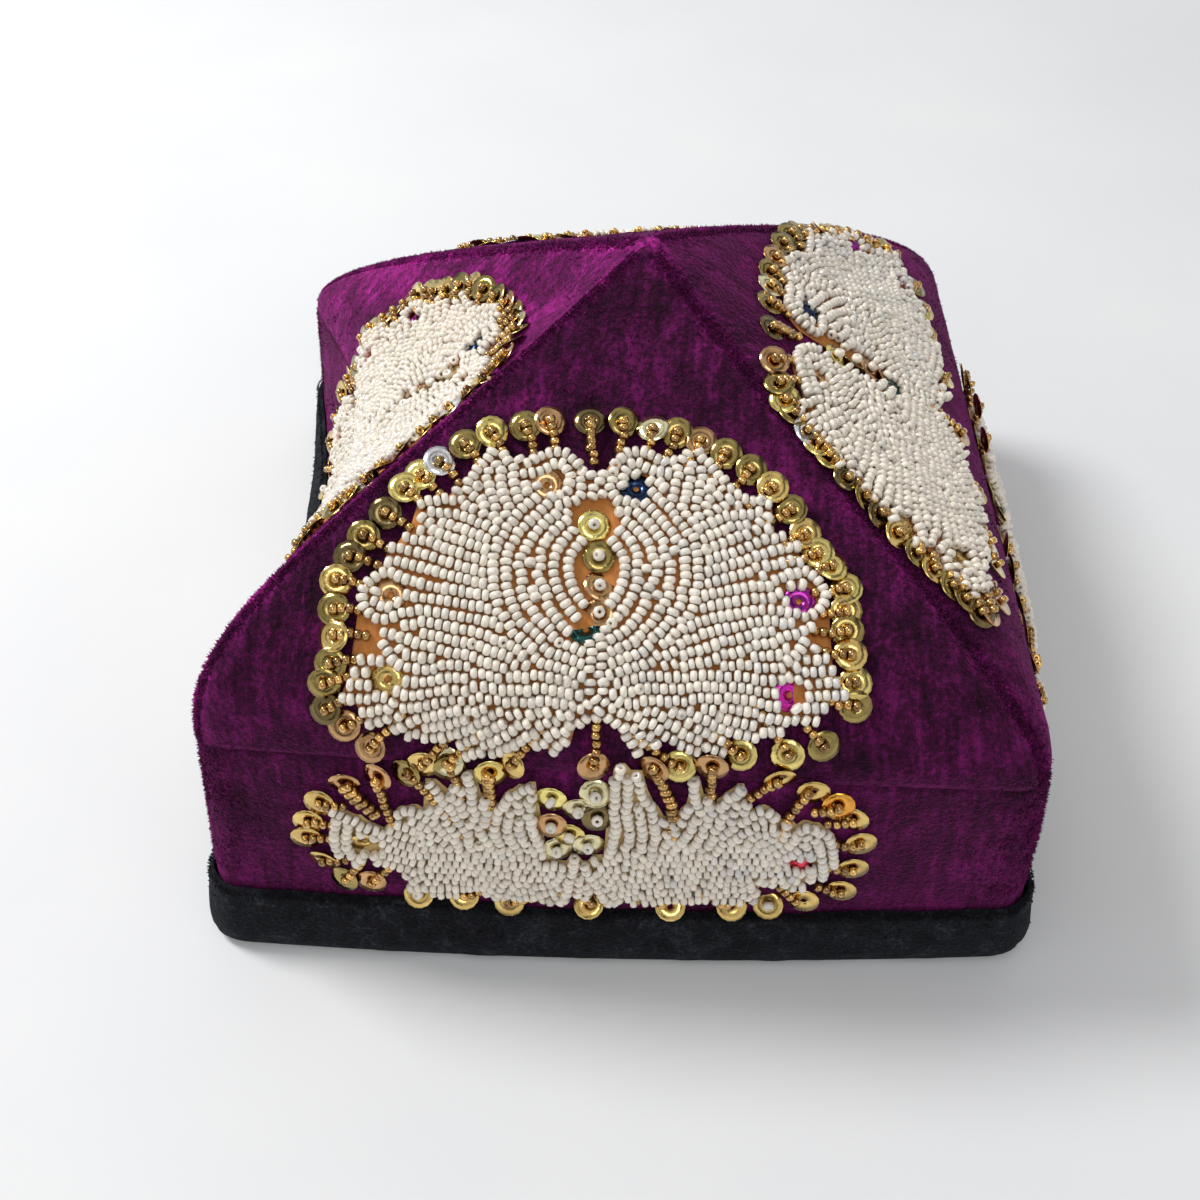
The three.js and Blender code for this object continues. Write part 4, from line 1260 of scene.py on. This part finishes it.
BAND_STRANDS = [
    [(346, 782), (360, 800), (375, 811)], [(350, 780), (364, 797), (379, 809)],
    [(378, 775), (385, 797), (394, 819)], [(410, 768), (438, 800), (464, 830)],
    [(451, 760), (458, 780), (465, 800)], [(488, 769), (489, 795), (490, 821)],
    [(491, 772), (493, 795), (493, 821)], [(373, 876), (384, 868), (394, 860)],
    [(348, 872), (356, 865), (364, 857)], [(466, 892), (480, 885), (492, 878)],
    [(508, 903), (535, 897), (562, 888)], [(592, 903), (585, 888), (580, 872)],
    [(654, 762), (664, 785), (671, 803), (668, 838)], [(657, 768), (668, 788), (675, 806), (672, 838)],
    [(712, 762), (711, 780), (711, 797)], [(778, 776), (760, 787), (740, 802), (721, 817)],
    [(808, 787), (801, 795), (788, 815), (776, 834)], [(795, 893), (778, 882), (764, 870)],
    [(727, 901), (712, 893), (697, 885)], [(662, 903), (642, 897), (623, 891)],
]


def with_topping(rows, topping):
    return [(pixel, tone, topping) for pixel, tone in rows]


def make_motifs():
    """The two motifs, charted on the front panel and on the front of the band."""
    crown_rows = CROWN_ROWS + [mirrored(row) for row in CROWN_ROWS[:-CROWN_CENTRE_ROWS]]
    crown_sequins = (with_topping(CROWN_SEQUINS, "strand") + with_topping(CROWN_LOW_SEQUINS, "bare")
                     + with_topping(CROWN_INSETS, "inset") + with_topping(CROWN_TOPPED, "bead"))
    band_sequins = (with_topping(BAND_SEQUINS, "strand") + with_topping(BAND_FAR_SEQUINS, "bare")
                    + with_topping(BAND_INSETS, "inset") + with_topping(BAND_TOPPED, "bead"))
    crown = Motif(panel_place(0), crown_rows, crown_sequins, CROWN_STRANDS)
    band = Motif(band_place(0), BAND_ROWS_LEFT + BAND_ROWS_RIGHT, band_sequins, BAND_STRANDS)
    return crown, band


def sew(side, part, place, mover, motif, middle, strand_length, paper, looks):
    """Everything of one motif on one side."""
    name = f"{part}_{SIDES[side]['name']}"
    seed = 300 + 10 * side + (5 if part == "band" else 0)
    spots, ways = motif.beads(mover, seed)
    white_beads(f"beads_{name}", place, spots, ways, looks["white"], seed, [f"beadwork_{name}"], side == 0)
    topping_beads(f"bead_toppings_{name}", place, mover, motif, looks["white"], seed + 1)
    lines = motif.strands + short_strands(motif, middle, strand_length)
    gold_beads(f"gold_strands_{name}", place, mover, lines, looks["gold"], seed + 2)
    sequin_pieces(f"discs_{name}", place, mover, motif, looks["sequin"], seed + 3, [f"sequins_{name}"])
    paper_sheet(f"paper_{name}", place, columns_under(spots, 0.8, 0.35), looks["paper"], paper)


def embroider(side, crown, band, looks):
    """Both motifs on one side."""
    fit = FITS[side]
    rise_at = panel_rise(side, 100)

    def on_panel(spots):
        return moved_to(fit, lambda up: panel_width(side, rise_at(up)), spots)

    def on_band(spots):
        return spots * [fit["flip"], 1]

    sew(side, "crown", panel_place(side), on_panel, crown, CROWN_MIDDLE, CROWN_STRAND, PAPER_ORANGE, looks)
    sew(side, "band", band_place(side), on_band, band, BAND_MIDDLE, BAND_STRAND, PAPER_CREAM, looks)


# Room, in metres

FLOOR_SIZE = 6.0
LIT_POINT = Vector((0, 0, 0.03))


def floor():
    bpy.ops.mesh.primitive_plane_add(size=FLOOR_SIZE)
    plane = bpy.context.object
    plane.name = "floor"
    plane.data.materials.append(pale_floor())


def area_light(name, place, size, power):
    """A round lamp that faces the middle of the cap."""
    data = bpy.data.lights.new(name, "AREA")
    data.shape = "DISK"
    data.size = size
    data.energy = power
    lamp = bpy.data.objects.new(name, data)
    lamp.location = place
    lamp.rotation_euler = (LIT_POINT - Vector(place)).to_track_quat("-Z", "Y").to_euler()
    bpy.context.scene.collection.objects.link(lamp)


def studio_sky():
    """Soft white light, brighter and darker in patches as a room's windows and walls are."""
    world = bpy.data.worlds.new("studio")
    world.use_nodes = True
    nodes, links = world.node_tree.nodes, world.node_tree.links
    coordinate = nodes.new("ShaderNodeTexCoord")
    texture = nodes.new("ShaderNodeTexNoise")
    texture.inputs["Scale"].default_value = 2.1
    texture.inputs["Detail"].default_value = 1.0
    links.new(coordinate.outputs["Generated"], texture.inputs["Vector"])
    sky = colour_ramp(nodes, links, texture.outputs["Fac"], [
        (0.36, (0.16, 0.16, 0.17)), (0.5, (0.86, 0.88, 0.9)), (0.6, (1.0, 1.0, 1.0))])
    links.new(sky, nodes["Background"].inputs["Color"])
    nodes["Background"].inputs["Strength"].default_value = 0.66
    bpy.context.scene.world = world


def lights():
    studio_sky()
    bpy.context.scene.view_settings.view_transform = "Standard"
    area_light("window", place=(-0.55, 0.25, 0.75), size=0.3, power=6.2)
    area_light("fill", place=(0.1, -0.6, 0.9), size=0.5, power=1.6)


make_camera()
lights()
floor()
VELVET = crushed_velvet()
BINDING_PILE = binding_velvet()
for bare_side in range(4):
    crown_gore(bare_side, VELVET)
    crown_tufts(bare_side, VELVET)
velvet_band(VELVET)
band_tufts(VELVET)
velvet_binding(BINDING_PILE)
binding_tufts(BINDING_PILE)
LOOKS = dict(white=glass_white(), gold=gold_glass(), sequin=sequin_metal(), paper=template_paper())
CROWN_MOTIF, BAND_MOTIF = make_motifs()
for beaded_side in range(4):
    embroider(beaded_side, CROWN_MOTIF, BAND_MOTIF, LOOKS)
